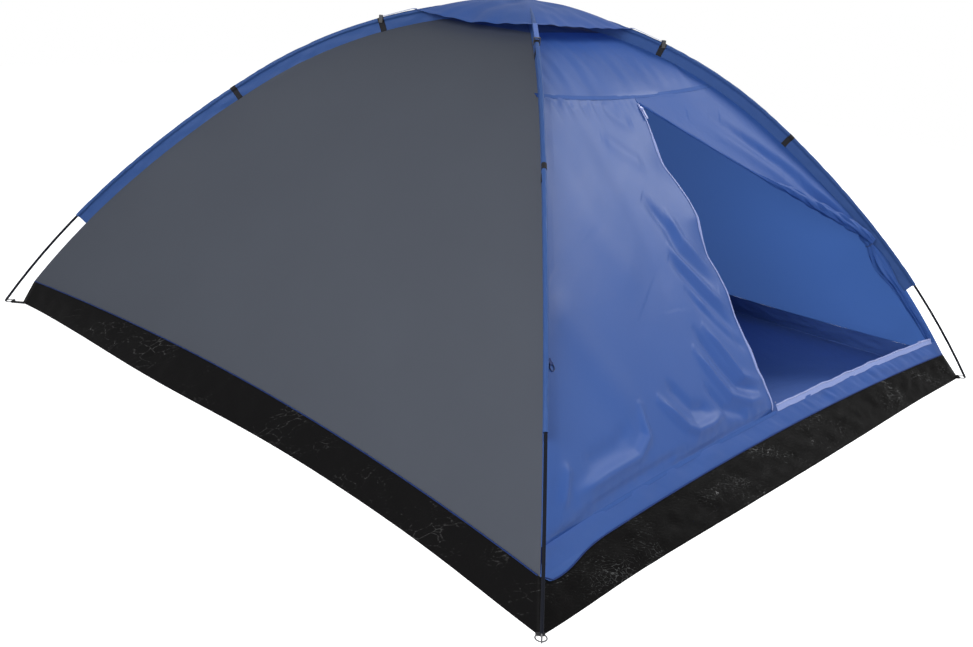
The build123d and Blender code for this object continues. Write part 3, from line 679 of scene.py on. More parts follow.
def header_seam(along):
    """Height of the seam under the header, which droops between the poles."""
    half = seam_span("front", header_height)[0]
    return header_height + 0.016 * (along / half) ** 2 - 0.008 * (1 - (along / half) ** 2)


def flutter(height):
    """How far the loose zip edge strays towards the doorway at a height."""
    knots = (
        (0.12, -0.018), (0.16, -0.014), (0.20, -0.015), (0.25, -0.019), (0.30, -0.014), (0.329, -0.019),
        (0.391, -0.022), (0.452, -0.011), (0.505, -0.016), (0.55, -0.026), (0.585, -0.017), (0.643, 0.006),
        (0.691, 0.002), (0.736, -0.009), (0.789, -0.027), (0.848, -0.013), (0.90, -0.002), (door_top, 0.0),
    )
    at = np.linspace(knots[0][0], door_top, 400)
    raw = np.interp(at, *zip(*knots))
    window = np.hanning(19)[1:-1]
    smooth = np.convolve(np.pad(raw, 8, mode="edge"), window / window.sum(), mode="valid")
    return np.interp(height, at, smooth)


# Ridges stand out and valleys go in; each is a path of (along, height), a width and a depth.
front_folds = (
    (((-0.20, 0.72), (-0.153, 0.64), (-0.143, 0.574), (-0.085, 0.519), (-0.024, 0.465)), 0.022, -0.009),
    (((-0.12, 0.68), (-0.10, 0.60), (-0.04, 0.54), (0.0, 0.50)), 0.016, 0.006),
    (((-0.19, 0.60), (-0.135, 0.526), (-0.076, 0.457), (-0.01, 0.41)), 0.015, 0.007),
    (((-0.21, 0.57), (-0.164, 0.513), (-0.112, 0.45), (-0.015, 0.349)), 0.017, -0.009),
    (((-0.17, 0.47), (-0.115, 0.40), (-0.04, 0.33)), 0.013, 0.007),
    (((-0.20, 0.49), (-0.151, 0.432), (-0.08, 0.36), (0.005, 0.294)), 0.016, -0.008),
    (((-0.19, 0.40), (-0.13, 0.305), (-0.101, 0.252), (-0.024, 0.225), (0.03, 0.224)), 0.013, 0.010),
    (((-0.24, 0.40), (-0.18, 0.29), (-0.14, 0.235), (-0.05, 0.205)), 0.014, -0.009),
    (((-0.28, 0.36), (-0.236, 0.273), (-0.199, 0.223), (-0.113, 0.189), (0.0, 0.18)), 0.014, 0.011),
    (((-0.30, 0.27), (-0.25, 0.20), (-0.15, 0.163)), 0.013, -0.008),
    (((-0.25, 0.875), (-0.172, 0.825), (-0.11, 0.79)), 0.024, 0.004),
    (((-0.17, 0.955), (-0.11, 0.91), (-0.06, 0.895)), 0.022, -0.004),
    (((-0.53, 0.29), (-0.455, 0.205), (-0.415, 0.186), (-0.35, 0.183), (-0.26, 0.192)), 0.013, 0.012),
    (((-0.47, 0.31), (-0.40, 0.232), (-0.32, 0.216)), 0.016, -0.008),
    (((-0.61, 0.30), (-0.632, 0.225), (-0.695, 0.197), (-0.83, 0.198), (-0.98, 0.194)), 0.015, 0.012),
    (((-0.68, 0.26), (-0.76, 0.238), (-0.92, 0.24)), 0.020, -0.006),
    (((-0.97, 0.26), (-1.04, 0.185)), 0.013, 0.008),
    (((-0.48, 0.160), (-0.66, 0.157), (-0.85, 0.156), (-1.0, 0.154)), 0.011, -0.007),
    (((-0.55, 0.94), (-0.50, 0.70), (-0.40, 0.50)), 0.080, 0.006),
    (((-0.30, 0.95), (-0.27, 0.70), (-0.29, 0.45)), 0.060, -0.005),
    (((-0.80, 0.60), (-0.72, 0.40), (-0.62, 0.26)), 0.060, 0.006),
)


def front_push(along, height):
    """How far the front cloth stands out from the taut wall."""
    half = seam_span("front", height)[0]
    push = 0.0035 * ripples(along, height, 0.5, 51, 1.8)
    for path, width, depth in front_folds:
        push = push + crease_line(along, height, path, width, depth)
    above_sill = clamped((height - sill_height) / 0.035)
    push = push + sill_billow * np.sin(above_sill * math.pi / 2) * falloff(height - sill_height, 0.16)
    push = push + 0.0010 * falloff(height - sill_height, 0.04) * ripples(along, height, 0.05, 52, 1.6)
    push = push + 0.0012 * falloff(header_seam(along) - height, 0.05) * ripples(along, height, 0.04, 53, 2.5)
    held = clamped((half + along) / 0.06) * clamped((half - along) / 0.06)
    held = held * clamped((height - sill_height) / 0.012) * clamped((header_seam(along) - height) / 0.015)
    edge = falloff(clamped(door_edge - along), 0.07) * clamped((door_top - height) / 0.06)
    return held * push * (1 - 0.5 * edge) + 0.6 * edge * flutter(height)


def front_edge(height):
    """Where the loose edge of the fixed half is, along the wall."""
    return door_edge + 0.5 * flutter(height) * clamped((door_top - height) / 0.05)


rows, columns = 200, 220
share, level = np.meshgrid(np.linspace(0, 1, columns) ** 0.85, np.linspace(0, 1, rows))
panel_top = header_height
for _ in range(2):
    height = sill_height + (panel_top - sill_height) * level
    start = -seam_span("front", height)[0] + seam_gap
    along = start + (front_edge(height) - start) * share
    panel_top = header_seam(along)
front_grid = wall_cloth("front", along, height, front_push(along, height))
front_panel = cloth_mesh("front_panel_cloth", front_grid, [blue_taffeta])
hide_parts("front_wall")

# ---------------------------------------------------------------- sill and header
# A low strip joins the tub to the front wall and carries the door's bottom zip, and a top strip
# closes the wall under the rain cap.  Both are felled into the panels with a double-stitched seam.


def strip_panel(name, low, high, rows, push):
    """A strip of the front wall between two heights that change along it."""
    share, level = np.meshgrid(np.linspace(-1, 1, 260), np.linspace(0, 1, rows))
    height = low(share) * (1 - level) + high(share) * level
    along = share * (seam_span("front", height)[0] - seam_gap)
    grid = wall_cloth("front", along, height, push(share, along, height, level))
    piece = cloth_mesh(name, grid, [blue_taffeta])
    return piece


def sill_push(share, along, height, level):
    held = np.sin(math.pi * clamped(level)) * loose_between(share, 20)
    slanting = 0.0020 * ripples(along + 1.6 * height, 0.3 * height, 0.035, 61) * np.clip(0.4 + share, 0.15, 1)
    rippled = slanting + 0.0025 * ripples(along, height, 0.12, 62)
    return held * rippled + 0.004 * clamped(rim_lobe(along) / 0.01)


sill_half = float(seam_span("front", tub_height)[0])
front_sill = strip_panel("front_sill_cloth", lambda x: tub_height - rim_lobe(x * sill_half),
                         lambda x: sill_height + 0 * x, 26, sill_push)
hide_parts("front_sill")


header_half = float(seam_span("front", header_height)[0])


def header_push(share, along, height, level):
    held = np.sin(math.pi * clamped(level)) ** 0.7 * loose_between(share, 12)
    broad = 0.0035 * ripples(along, height, 0.16, 63, 1.5)
    return held * (broad + 0.0015 * ripples(along, height, 0.05, 64, 3.0))


front_header = strip_panel("front_header_cloth", lambda x: header_seam(x * header_half),
                           lambda x: vent_height + 0 * x, 40, header_push)
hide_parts("front_header")


seam_width = 0.010


def seam_band(name, run_at):
    """A folded seam sewn flat on the cloth; `run_at` gives its points at a distance across it."""
    rows = [run_at(across) for across in np.linspace(-0.5, 0.5, 5) * seam_width]
    band = cloth_mesh(name, np.stack(rows), [seam_blue])
    return band


stitched, given, put = effect_group("stitching", [("Place", "vector", None), ("Pitch", "value", 0.004)],
                                    [("Mask", "value"), ("Height", "value")])
apart = add_node(stitched, "SeparateXYZ", {0: given["Place"]})
per_stitch = add_maths(stitched, "DIVIDE", apart, given["Pitch"])
dash = add_maths(stitched, "LESS_THAN", add_maths(stitched, "FRACT", per_stitch), 0.7)
per_row = add_maths(stitched, "DIVIDE", apart.outputs[1], 0.005)
from_row = add_maths(stitched, "SUBTRACT", add_maths(stitched, "FRACT", per_row), 0.5)
row = add_maths(stitched, "LESS_THAN", add_maths(stitched, "ABSOLUTE", from_row), 0.08)
both = add_maths(stitched, "MULTIPLY", dash, row)
stitched.links.new(both.outputs[0], put["Mask"])
stitched.links.new(both.outputs[0], put["Height"])


def sewn_cloth(name, colour, thread, roughness=0.65, pitch=0.004):
    """Doubled cloth with rows of stitches along it."""
    material, tree = new_material(name)
    chart = cloth_chart(tree)
    seam = add_effect(tree, stitched, chart, Pitch=pitch)
    threads = add_effect(tree, weave, chart, Threads=5000.0)
    shade = mix_colours(tree, seam.outputs["Mask"], colour, thread)
    dusty = add_effect(tree, scuffs, chart)
    rough = remap(tree, dusty.outputs["Mask"], end=(roughness, roughness + 0.15))
    cloth = add_bump(tree, threads.outputs["Height"], 0.0001, 0.6)
    sunk = add_bump(tree, seam.outputs["Height"], 0.0006, 0.8, cloth, invert=True)
    skin = skin_shader(tree, shade, rough, sunk, 0.12)
    add_node(tree, "OutputMaterial", {"Surface": skin})
    return material


seam_blue = sewn_cloth("seam_blue", (0.034, 0.088, 0.29), (0.044, 0.105, 0.33))
run_along = np.linspace(-0.985, 0.985, 240)
seam_proud = 0.0003


def header_run(across):
    along = run_along * seam_span("front", header_height)[0]
    return wall_cloth("front", along, header_seam(along) + across, seam_proud + 0 * along)


header_band = seam_band("header_seam", header_run)


def sill_run(across):
    along = run_along * seam_span("front", sill_height)[0]
    along = along[along < door_edge]
    return wall_cloth("front", along, sill_height - 0.004 + across + 0 * along, seam_proud + 0 * along)


sill_band = seam_band("sill_seam", sill_run)

# ---------------------------------------------------------------- door flap
# The door is the other half of the front wall.  It is unzipped, rolled back on itself along a
# line from the top of the zip to the right-hand seam, and held there by a tie.  Above the roll
# it is smooth with long pulls towards the tie, and below the tie its tail hangs down the seam.
tie_height = 0.486
tie_along = float(seam_span("front", tie_height)[0]) - 0.014
tail_foot_height = sill_height + 0.016
tail_foot_along = float(seam_span("front", tail_foot_height)[0]) - 0.034

flap_pulls = (
    (((0.40, 0.90), (0.62, 0.745), (0.80, 0.60), (0.88, 0.51)), 0.026, 0.007),
    (((0.34, 0.90), (0.58, 0.745), (0.77, 0.60), (0.875, 0.505)), 0.024, -0.008),
    (((0.24, 0.91), (0.50, 0.765), (0.72, 0.62), (0.87, 0.50)), 0.026, 0.006),
    (((0.58, 0.72), (0.70, 0.635), (0.82, 0.55), (0.885, 0.495)), 0.014, -0.007),
    (((0.66, 0.70), (0.77, 0.615), (0.885, 0.505)), 0.013, 0.007),
    (((0.70, 0.62), (0.80, 0.55), (0.88, 0.49)), 0.010, 0.005),
)


def flap_push(along, height, hold):
    """How far the door stands out: long pulls, and rays round the tie."""
    push = 0.0028 * ripples(along + 0.8 * height, height, 0.34, 71)
    for path, width, depth in flap_pulls:
        push = push + crease_line(along, height, path, width, depth, 0.35)
    close = np.exp(-np.hypot(along - tie_along, height - tie_height) / 0.14)
    turned = np.arctan2(height - tie_height, tie_along - along + 1e-6)
    push = push + 0.0040 * close * np.sin(20 * turned + 1.2)
    return hold * push


columns = 240
share = np.linspace(0, 1, columns)
bow = np.sin(math.pi * share)
fold_along = door_edge + 0.004 + (tie_along - door_edge - 0.004) * share
fold_waves = 0.0012 * bow * ripples(fold_along, 0 * share, 0.23, 72)
fold_height = door_top + (tie_height - door_top) * share - 0.002 * bow**2 - fold_waves
corner_half = header_half
for _ in range(4):
    corner_height = float(header_seam(corner_half))
    corner_half = float(seam_span("front", corner_height)[0])
header_share = 0.46
at_header = clamped(share / header_share)
down_seam = clamped((share - header_share) / (1 - header_share))
top_along = door_edge + (corner_half - seam_gap - door_edge) * at_header
seam_down = corner_height + (tie_height + 0.012 - corner_height) * down_seam
top_along = np.where(down_seam > 0, seam_span("front", seam_down)[0] - seam_gap, top_along)
top_height = np.where(down_seam > 0, seam_down, header_seam(top_along))

fuller = eased(clamped((share - 0.42) / 0.30))
roll_radius = 0.0035 + 0.0125 * fuller * (1 - 0.45 * clamped((share - 0.88) / 0.12) ** 2)
fold_height = fold_height + 0.8 * roll_radius
skin_rows = []
for level in np.linspace(1, 0, 90):
    along = fold_along + (top_along - fold_along) * level
    height = fold_height + (top_height - fold_height) * level
    hold = np.clip(level / 0.05, 0.25, 1) * clamped((1 - level) / 0.12) * clamped(share / 0.12)
    skin_rows.append(wall_cloth("front", along, height, flap_push(along, height, hold)))


def run_of(line):
    """The direction of a line of points at each of them."""
    return one_long(np.gradient(line, axis=0))


def square_to(runs, way):
    """A fixed way, made square to each run."""
    return one_long(way - runs * (runs @ way)[:, None])


edge_row = skin_rows[-1]
fold_run = run_of(edge_row)
face_out = square_to(fold_run, np.array([0.0, -0.93, 0.37]))
face_down = np.cross(face_out, fold_run)
face_down *= np.sign(-face_down[:, 2:3])
roll_middle = edge_row + face_out * roll_radius[:, None]
for turn in np.linspace(0, math.radians(400), 44)[1:]:
    inward = clamped((turn - 4.6) / 2.4)
    twisted = ripples(np.full(columns, 1.2 * turn) * 0.04 + 0.30 * share, share * 0.9, 0.06, 73, 2.0)
    wrung = np.sin(4 * turn + 95 * share + 1.5 * twisted) * fuller
    radius = roll_radius * (1 - 0.30 * inward + (0.18 * twisted + 0.13 * wrung) * min(1.0, turn))
    skin_rows.append(roll_middle + (face_down * math.sin(turn) - face_out * math.cos(turn)) * radius[:, None])
flap_grid = np.stack(skin_rows[::-1])
door_taffeta = taffeta("door_taffeta", *front_blue, roughness=0.50, crease=0.0022, crease_scale=16.0,
                       gloss=0.19)
door_flap = cloth_mesh("door_flap_cloth", flap_grid, [door_taffeta])
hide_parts("door_flap")

# The gathered bunch at the tie, and the tail below it: folded cloth narrowing to the foot.
bunch_rows = []
spine_share = np.linspace(-0.10, 1, 130)
spine_along = tie_along - 0.010 + (tail_foot_along - tie_along + 0.010) * spine_share
spine_height = tie_height + (tail_foot_height - tie_height) * spine_share
spine_along = spine_along - 0.020 * np.sin(math.pi * clamped(spine_share)) * (1 - spine_share) + 0.006
spine_along = np.minimum(spine_along, seam_span("front", spine_height)[0] - 0.006)
spine = wall_cloth("front", spine_along, spine_height, -0.006 + 0 * spine_share)
spine_run = run_of(spine)
bunch_out = (-0.15, -0.92, 0.34)
out_way = square_to(spine_run, np.array(bunch_out))
side_way = np.cross(spine_run, out_way)
waist = falloff(spine_share, 0.045)
wide = 0.010 + 0.024 * falloff(spine_share - 0.20, 0.15) - 0.004 * waist
deep = 0.013 * (1 - 0.25 * waist) * (1 - 0.35 * clamped(spine_share))
for turn in np.linspace(0, 2 * math.pi, 73):
    folds = 1 + 0.22 * np.sin(7 * turn + 9 * spine_share) + 0.10 * np.sin(11 * turn - 5 * spine_share + 1)
    folds = folds + 0.05 * ripples(0.3 * turn + 0 * spine_share, spine_share, 0.12, 74, 2.0)
    bunch_rows.append(spine + side_way * (math.cos(turn) * wide * folds)[:, None]
                      + out_way * (math.sin(turn) * deep * folds)[:, None])
door_tail = cloth_mesh("door_tail_cloth", np.stack(bunch_rows), [door_taffeta], weld=True)

# ---------------------------------------------------------------- roof vent and crown patch
# The top of the cabin is open net, sewn to the tops of the walls and kept dry by the rain cap.
# A small square of cloth is sewn over its middle, where the seams cross.
net, tree = new_material("vent_net")
place = add_node(tree, "TexCoord").outputs["Object"]
holes = add_effect(tree, weave, place, Threads=2200.0)
solid = remap(tree, holes.outputs["Height"], (0.35, 0.55), (0.80, 1.0))
# The net is painted dark navy as painted shade for the shade under the rain cap, and darker where its threads
# dip: painted shade in the weave.
shade = mix_colours(tree, holes.outputs["Height"], (0.010, 0.022, 0.08), (0.02, 0.04, 0.13))
relief = add_bump(tree, holes.outputs["Height"], 0.0002, 0.5)
skin = skin_shader(tree, shade, 0.8, relief, Alpha=solid)
add_node(tree, "OutputMaterial", {"Surface": skin})
crown_height = float(beside_pole(0.0, web_reach)[1])
net_inset = 0.001
vent_rows = []
for level in np.linspace(0, 1, 24):
    height = vent_height + (crown_height - vent_height) * level * 0.97
    ring = []
    for wall in wall_turn:
        half, seam_out = seam_span(wall, np.array([height]))
        along = np.linspace(-1, 1, 41) * half
        sag = vent_sag * (crown_height - height) / (crown_height - vent_height)
        distance = seam_out - sag * (1 - (along / half) ** 2) - net_inset
        ring.append(on_side(wall, along, distance, height - net_inset)[:-1])
    ring.append(ring[0][:1])
    vent_rows.append(np.concatenate(ring))
roof_vent = cloth_mesh("roof_vent_net", np.stack(vent_rows), [net], weld=True)
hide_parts("roof_vent_mesh")
patch_line = np.linspace(-0.038, 0.038, 24)
patch_across, patch_along = np.meshgrid(patch_line, patch_line)
patch_swell = 0.0006 * np.cos(patch_across * 60) * np.cos(patch_along * 60)
patch_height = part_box("crown_patch")[0].z + 0.0008 + patch_swell
patch_grid = np.stack([patch_across, patch_along, patch_height], axis=-1)
crown_patch = cloth_mesh("crown_patch_cloth", patch_grid, [seam_blue])
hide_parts("crown_patch")

# ---------------------------------------------------------------- pole sleeves
# A strip of the wall cloth is folded over each pole and sewn into the seam as a flat web, in
# three lengths on each arm.  The cloth is slack, so the web ripples and the tube is uneven.
sleeve_radius = 0.0064
# The sleeves are the wall cloth painted a darker, greyer blue: painted shade for the shade along the sleeves
# and their webs.
sleeve_blue_painted_shade = taffeta("sleeve_taffeta_painted_shade", (0.037, 0.088, 0.258), (0.047, 0.104, 0.288), (0.05, 0.13, 0.40), 0.22,
                     crease=0.0010, crease_scale=22.0, gloss=0.14)
sleeve_runs = {"upper": (0.046, 0.4745), "middle": (0.4935, 1.0305), "lower": (1.0495, 1.775)}


def over_pole(arm, run, inset_end, radius, web_half, slack=0.0, seed=1):
    """Rows of points for cloth folded over an arm's pole and back to the seam."""
    over = np.radians(np.linspace(-152, 152, 23))
    web = np.linspace(inset_end, radius * 1.35, 9)
    inset = np.concatenate([web, -radius * np.cos(over), web[::-1]])
    across = np.concatenate([-web_half * np.ones(9), radius * np.sin(over), web_half * np.ones(9)])
    bowed = np.sin(np.linspace(0, 1, 9) * math.pi)
    on_web = np.concatenate([bowed, np.zeros(23), bowed[::-1]])
    rows = []
    for inset_now, across_now, web_now in zip(inset, across, on_web):
        wave = slack * ripples(run, inset_now + 0 * run, 0.085, seed, 0.7)
        loose = slack * 0.5 * ripples(run, across_now * 6 + 0 * run, 0.05, seed + 1) * (1 - web_now)
        raised = arm_lift[arm] * clamped((inset_end - inset_now) / (inset_end - radius))
        reach, height = beside_pole(run, inset_now - np.minimum(loose, 0.0004) * (inset_now < radius), raised)
        rows.append(out_along_arm(arm, reach, across_now + web_now * wave + 0 * run, height))
    return np.stack(rows)


for arm_number, arm in enumerate(arm_lift):
    for number, (length_name, (start, end)) in enumerate(sleeve_runs.items()):
        run = np.linspace(start, end, int((end - start) / 0.006))
        rows = over_pole(arm, run, web_reach + 0.0022, sleeve_radius, 0.0006, 0.0016,
                         81 + 10 * number + arm_number)
        sleeve = cloth_mesh(f"sleeve_cloth_{arm}_{length_name}", rows, [sleeve_blue_painted_shade])
        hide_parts(f"sleeve_{arm}_{length_name}")

# ---------------------------------------------------------------- webbing loops on the poles
# Black polypropylene tape, 20 mm wide, is folded over the pole in each gap between two sleeves
# and sewn into the seam with them.
webbing, given, put = effect_group("webbing", [("Place", "vector", None)], [("Height", "value")])
apart = add_node(webbing, "SeparateXYZ", {0: given["Place"]})
lengthways = add_maths(webbing, "MULTIPLY", apart.outputs[1], 3100.0)
rib = add_maths(webbing, "MULTIPLY", apart, 2000.0)
rib_sine = add_maths(webbing, "SINE", rib)
offset = add_maths(webbing, "MULTIPLY_ADD", rib_sine, 1.2, lengthways)
twill = add_maths(webbing, "SINE", offset)
level = add_maths(webbing, "MULTIPLY_ADD", twill, 0.5, 0.5)
webbing.links.new(level.outputs[0], put["Height"])


def tape_finish(name, dark, light, roughness=0.75):
    """Woven tape: ribs of thread, with painted shade between them."""
    material, tree = new_material(name)
    chart = cloth_chart(tree)
    ribs = add_effect(tree, webbing, chart)
    dusty = add_effect(tree, scuffs, chart)
    shade = mix_colours(tree, ribs.outputs["Height"], dark, light)
    rough = remap(tree, dusty.outputs["Mask"], end=(roughness, roughness + 0.15))
    relief = add_bump(tree, ribs.outputs["Height"], 0.0003, 0.7)
    skin = skin_shader(tree, shade, rough, relief, 0.15)
    add_node(tree, "OutputMaterial", {"Surface": skin})
    return material


webbing_half = 0.010
black_tape = tape_finish("black_tape", (0.008, 0.008, 0.010), (0.022, 0.022, 0.026))


def thicken(piece, thickness, offset=1.0):
    """Give tape or cord cloth its real thickness."""
    body = piece.modifiers.new("thickness", "SOLIDIFY")
    body.thickness = thickness
    body.offset = offset


for place, middle in (("upper", 0.484), ("lower", 1.040)):
    for arm in arm_lift:
        run = np.linspace(middle - webbing_half, middle + webbing_half, 9)
        rows = over_pole(arm, run, web_reach + 0.002, 0.0062, 0.0007)
        loop = cloth_mesh(f"pole_loop_{arm}_{place}", rows, [black_tape])
        thicken(loop, 0.0011)
        if arm == "front_left":
            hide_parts(f"pole_loops_{place}")

# ---------------------------------------------------------------- corner straps, rings and pins
# At each corner a dark tape is sewn to the tub and folded round a steel ring, which takes a peg.
# The ring also carries a pin whose shank goes up the bore of the pole's last rod.
dress(["corner_rings", "corner_pins"],
      hard_finish("plated_wire", (0.07, 0.07, 0.075), (0.12, 0.12, 0.125), 0.4, 1.0))
strap_tape = tape_finish("strap_tape", (0.012, 0.012, 0.013), (0.030, 0.030, 0.032))
foot_slope = float(pole_slope[-1])
foot_reach = float(pole_reach[-1])
ring_height = 0.0049
ring_radius = 0.013
fold_radius = 0.0015 + 0.0014
tape_start = float(np.interp(0.0, seam_height[::-1], seam_reach[::-1]))
for arm, lift in arm_lift.items():
    overhang = (foot_height + lift - ring_height) / math.sin(foot_slope)
    fold_reach = foot_reach + math.cos(foot_slope) * overhang - 2 * ring_radius
    across = np.linspace(-webbing_half, webbing_half, 9)
    low_z = np.linspace(0.0009, ring_height - fold_radius - 0.0007, 6)
    sewn_at = tape_start + corner_pull[arm] - 0.012
    profile = [(sewn_at + (fold_reach - sewn_at) * i / 5, z) for i, z in enumerate(low_z)]
    for turn in np.radians(np.linspace(-90, 235, 26))[1:]:
        around = fold_radius + 0.0007
        profile.append((fold_reach + around * math.cos(turn), ring_height + around * math.sin(turn)))
    rows = [out_along_arm(arm, reach + 0 * across, across, z + 0 * across) for reach, z in profile]
    strap = cloth_mesh(f"corner_strap_{arm}", np.stack(rows), [strap_tape])
    thicken(strap, 0.0012, 0.0)
    if arm == "front_left":
        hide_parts("corner_straps")

# ---------------------------------------------------------------- piping
# A navy cord in a folded strip is sewn along the join of the walls and the tub.
navy_cloth = sewn_cloth("navy_piping_cloth", (0.010, 0.028, 0.125), (0.02, 0.045, 0.17), 0.6, 0.003)
piping_radius = 0.0016


def tube_rows(line, one_way, other_way, radius, count):
    """Rows of points round a line, from two ways that are square to it."""
    return np.stack([line + radius * (one_way * math.cos(turn) + other_way * math.sin(turn))
                     for turn in np.linspace(0, 2 * math.pi, count)])


for wall in wall_turn:
    half = float(seam_span(wall, tub_height)[0])
    along = np.linspace(-half * 0.995, half * 0.995, 260)
    droop = rim_lobe(along) if wall == "front" else 0 * along
    line = wall_cloth(wall, along, tub_height - droop,
                      0.0022 + 0.3 * np.minimum(droop, 0.01) + 0.0004 * ripples(along, 0 * along, 0.09, 91))
    run = run_of(line)
    upright = np.array([0.0, 0.0, 1.0]) - run * run[:, 2:3]
    rows = tube_rows(line, upright, np.cross(run, upright), piping_radius, 11)
    piping = cloth_mesh(f"tub_piping_{wall}", rows, [navy_cloth], weld=True)
    if wall == "front":
        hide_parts("tub_piping")

# ---------------------------------------------------------------- rain cap
# A small square fly hangs over the crossed poles and covers the net.  Its corners lie on the
# arms, its hems run straight between them, and a pale tape from each corner ends in a clip.
cap_taffeta = taffeta("cap_taffeta", (0.036, 0.098, 0.330), (0.046, 0.114, 0.365), (0.06, 0.15, 0.50), 0.30,
                      crease=0.0022, crease_scale=10.0, gloss=0.18)
cap_reach = 0.372
cap_clearance = 0.0008
cap_inset = -(0.0068 + cap_clearance)
level_reach, level_height = beside_pole(np.linspace(0, cap_reach, 60), cap_inset, crossing_lift)
cap_corner = float(level_reach[-1])
cap_half_x = cap_corner * math.cos(math.radians(plan_angle))
cap_half_y = cap_corner * math.sin(math.radians(plan_angle))
cap_u, cap_v = np.meshgrid(np.linspace(-1, 1, 150), np.linspace(-1, 1, 150))
cap_level = np.maximum(np.abs(cap_u), np.abs(cap_v))
soft_level = (np.abs(cap_u) ** 7 + np.abs(cap_v) ** 7) ** (1 / 7)
by_hem = cap_level + (soft_level - cap_level) * clamped((1 - cap_level) / 0.07)
soft_level = np.where(cap_level > 0.93, by_hem, np.minimum(soft_level, 1))
cap_height = np.interp(np.minimum(soft_level, 1) * cap_corner, level_reach, level_height) + 0.0014
lower_pole = clamped(-cap_u * cap_v / np.maximum(cap_level, 0.05) ** 2)
cap_height = cap_height - crossing_lift * lower_pole * clamped(cap_level - 0.35) / 0.65
off_arm = np.abs(np.abs(cap_u) - np.abs(cap_v)) / np.maximum(cap_level, 0.05)
between = clamped(off_arm)
hem_drop = np.where(cap_u < -np.abs(cap_v), 0.018, 0.003)
cap_sag = 0.010 * between * cap_level**2 * (1.6 - cap_level) + hem_drop * between * cap_level**6
to_corner = np.minimum.reduce([np.hypot(cap_u - a, cap_v - b) for a in (-1, 1) for b in (-1, 1)])
corner_lines = falloff(to_corner, 0.5) * np.sin(28 * np.arctan2(np.abs(cap_v), np.abs(cap_u)))
cap_folds = 0.0030 * (between * ripples(cap_u * 0.26, cap_v * 0.27, 0.10, 95)
                      + np.minimum(between * 2, 1) * corner_lines)
hem_thick = 0.0008 * clamped((cap_level - 0.955) / 0.008)
cap_grid = np.stack([cap_u * cap_half_x, cap_v * cap_half_y,
                     cap_height - cap_sag + cap_folds * clamped(between * 4) + hem_thick], axis=-1)
rain_cap = cloth_mesh("rain_cap_cloth", cap_grid, [cap_taffeta], "fly")
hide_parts("flysheet")

pale_tape = tape_finish("pale_tape", (0.08, 0.14, 0.38), (0.12, 0.19, 0.46), 0.7)
dress(["fly_clips"], hard_finish("clip_nylon", (0.010, 0.010, 0.012), (0.03, 0.03, 0.034), 0.42, 0.0))
clip_along = 0.484
for arm, lift in arm_lift.items():
    start_reach, start_height = beside_pole(np.array([cap_reach]), cap_inset, lift)
    end_reach, end_height = beside_pole(np.array([clip_along]), -(0.0074 + cap_clearance), lift)
    share = np.linspace(0, 1, 26)
    reach = start_reach[0] - 0.012 + (end_reach[0] - start_reach[0] + 0.012) * share
    over_height = beside_pole(np.interp(reach, pole_reach, pole_along), cap_inset - 0.0012, lift)[1]
    first = start_height[0] + 0.0036
    straight = first + (end_height[0] + 0.0011 - first) * clamped((share - 0.1) / 0.9)
    height = np.maximum(straight, over_height)
    rows = [out_along_arm(arm, reach, across + 0 * reach, height) for across in np.linspace(-0.007, 0.007, 7)]
    strap = cloth_mesh(f"cap_strap_{arm}", np.stack(rows), [pale_tape], "fly")
    thicken(strap, 0.0010, 0.0)
    if arm == "front_left":
        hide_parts("fly_straps")

# ---------------------------------------------------------------- zips
# Each zip is a pale woven tape sewn along the cloth's edge with a moulded coil on it.  The side
# tape flutters with the loose edge of the panel; the bottom one stands straight up on the sill.
zip_tape = tape_finish("zip_tape_cloth", (0.20, 0.26, 0.52), (0.28, 0.34, 0.62), 0.7)
zip_coil, tree = new_material("zip_coil_nylon")
chart = cloth_chart(tree)
apart = add_node(tree, "SeparateXYZ", {0: chart})
pitch = add_maths(tree, "MULTIPLY", apart.outputs[1], 3900.0)
tooth = add_maths(tree, "SINE", pitch)
tooth = add_maths(tree, "MULTIPLY_ADD", tooth, 0.5, 0.5)
# The coil is painted darker between its turns and paler on them: painted shade in the gaps.
shade = mix_colours(tree, tooth, (0.20, 0.25, 0.50), (0.42, 0.47, 0.74))
rough = remap(tree, tooth, end=(0.55, 0.35))
relief = add_bump(tree, tooth, 0.0005, 0.8)
skin = skin_shader(tree, shade, rough, relief)
add_node(tree, "OutputMaterial", {"Surface": skin})
tape_height = np.linspace(sill_height + 0.004, door_top + 0.004, 420)
edge_line = front_edge(tape_height)
broad_places = ((0.83, 0.035), (0.62, 0.030), (0.27, 0.090))
tape_width = 0.0045 + 0.0062 * sum(falloff(tape_height - middle, reach) for middle, reach in broad_places)
tape_rows = [wall_cloth("front", along, tape_height, front_push(along, tape_height) + 0.0010)
             for along in (edge_line - back * tape_width for back in np.linspace(1.0, 0.0, 9))]
side_tape = cloth_mesh("side_zip_tape_cloth", np.stack(tape_rows), [zip_tape])
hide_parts("side_zip_tape")


def zip_coil_along(name, line, face, radius):
    """The moulded coil on a zip tape, along a line on a face."""
    run = run_of(line)
    aside = one_long(np.cross(np.array(face), run))
    coil = cloth_mesh(name, tube_rows(line, aside, np.cross(aside, run), radius, 13), [zip_coil], weld=True)


coil_along = edge_line - 0.0015
coil_line = wall_cloth("front", coil_along, tape_height, front_push(coil_along, tape_height) + 0.0018)
zip_coil_along("side_zip_coil", coil_line, (0.0, 0.9, -0.42), 0.0015)

sill_zip_start = door_edge + 0.004
sill_zip_end = float(seam_span("front", sill_height + 0.018)[0]) - 0.026
sill_along = np.linspace(sill_zip_start, sill_zip_end, 300)


def on_sill(rise, out):
    """A line along the sill's zip, at a rise above the sill's seam."""
    return wall_cloth("front", sill_along,
                      sill_height + rise + 0.0012 * ripples(sill_along, 0 * sill_along, 0.11, 96),
                      out + 0.0015 * ripples(sill_along, 0 * sill_along + rise, 0.13, 97))


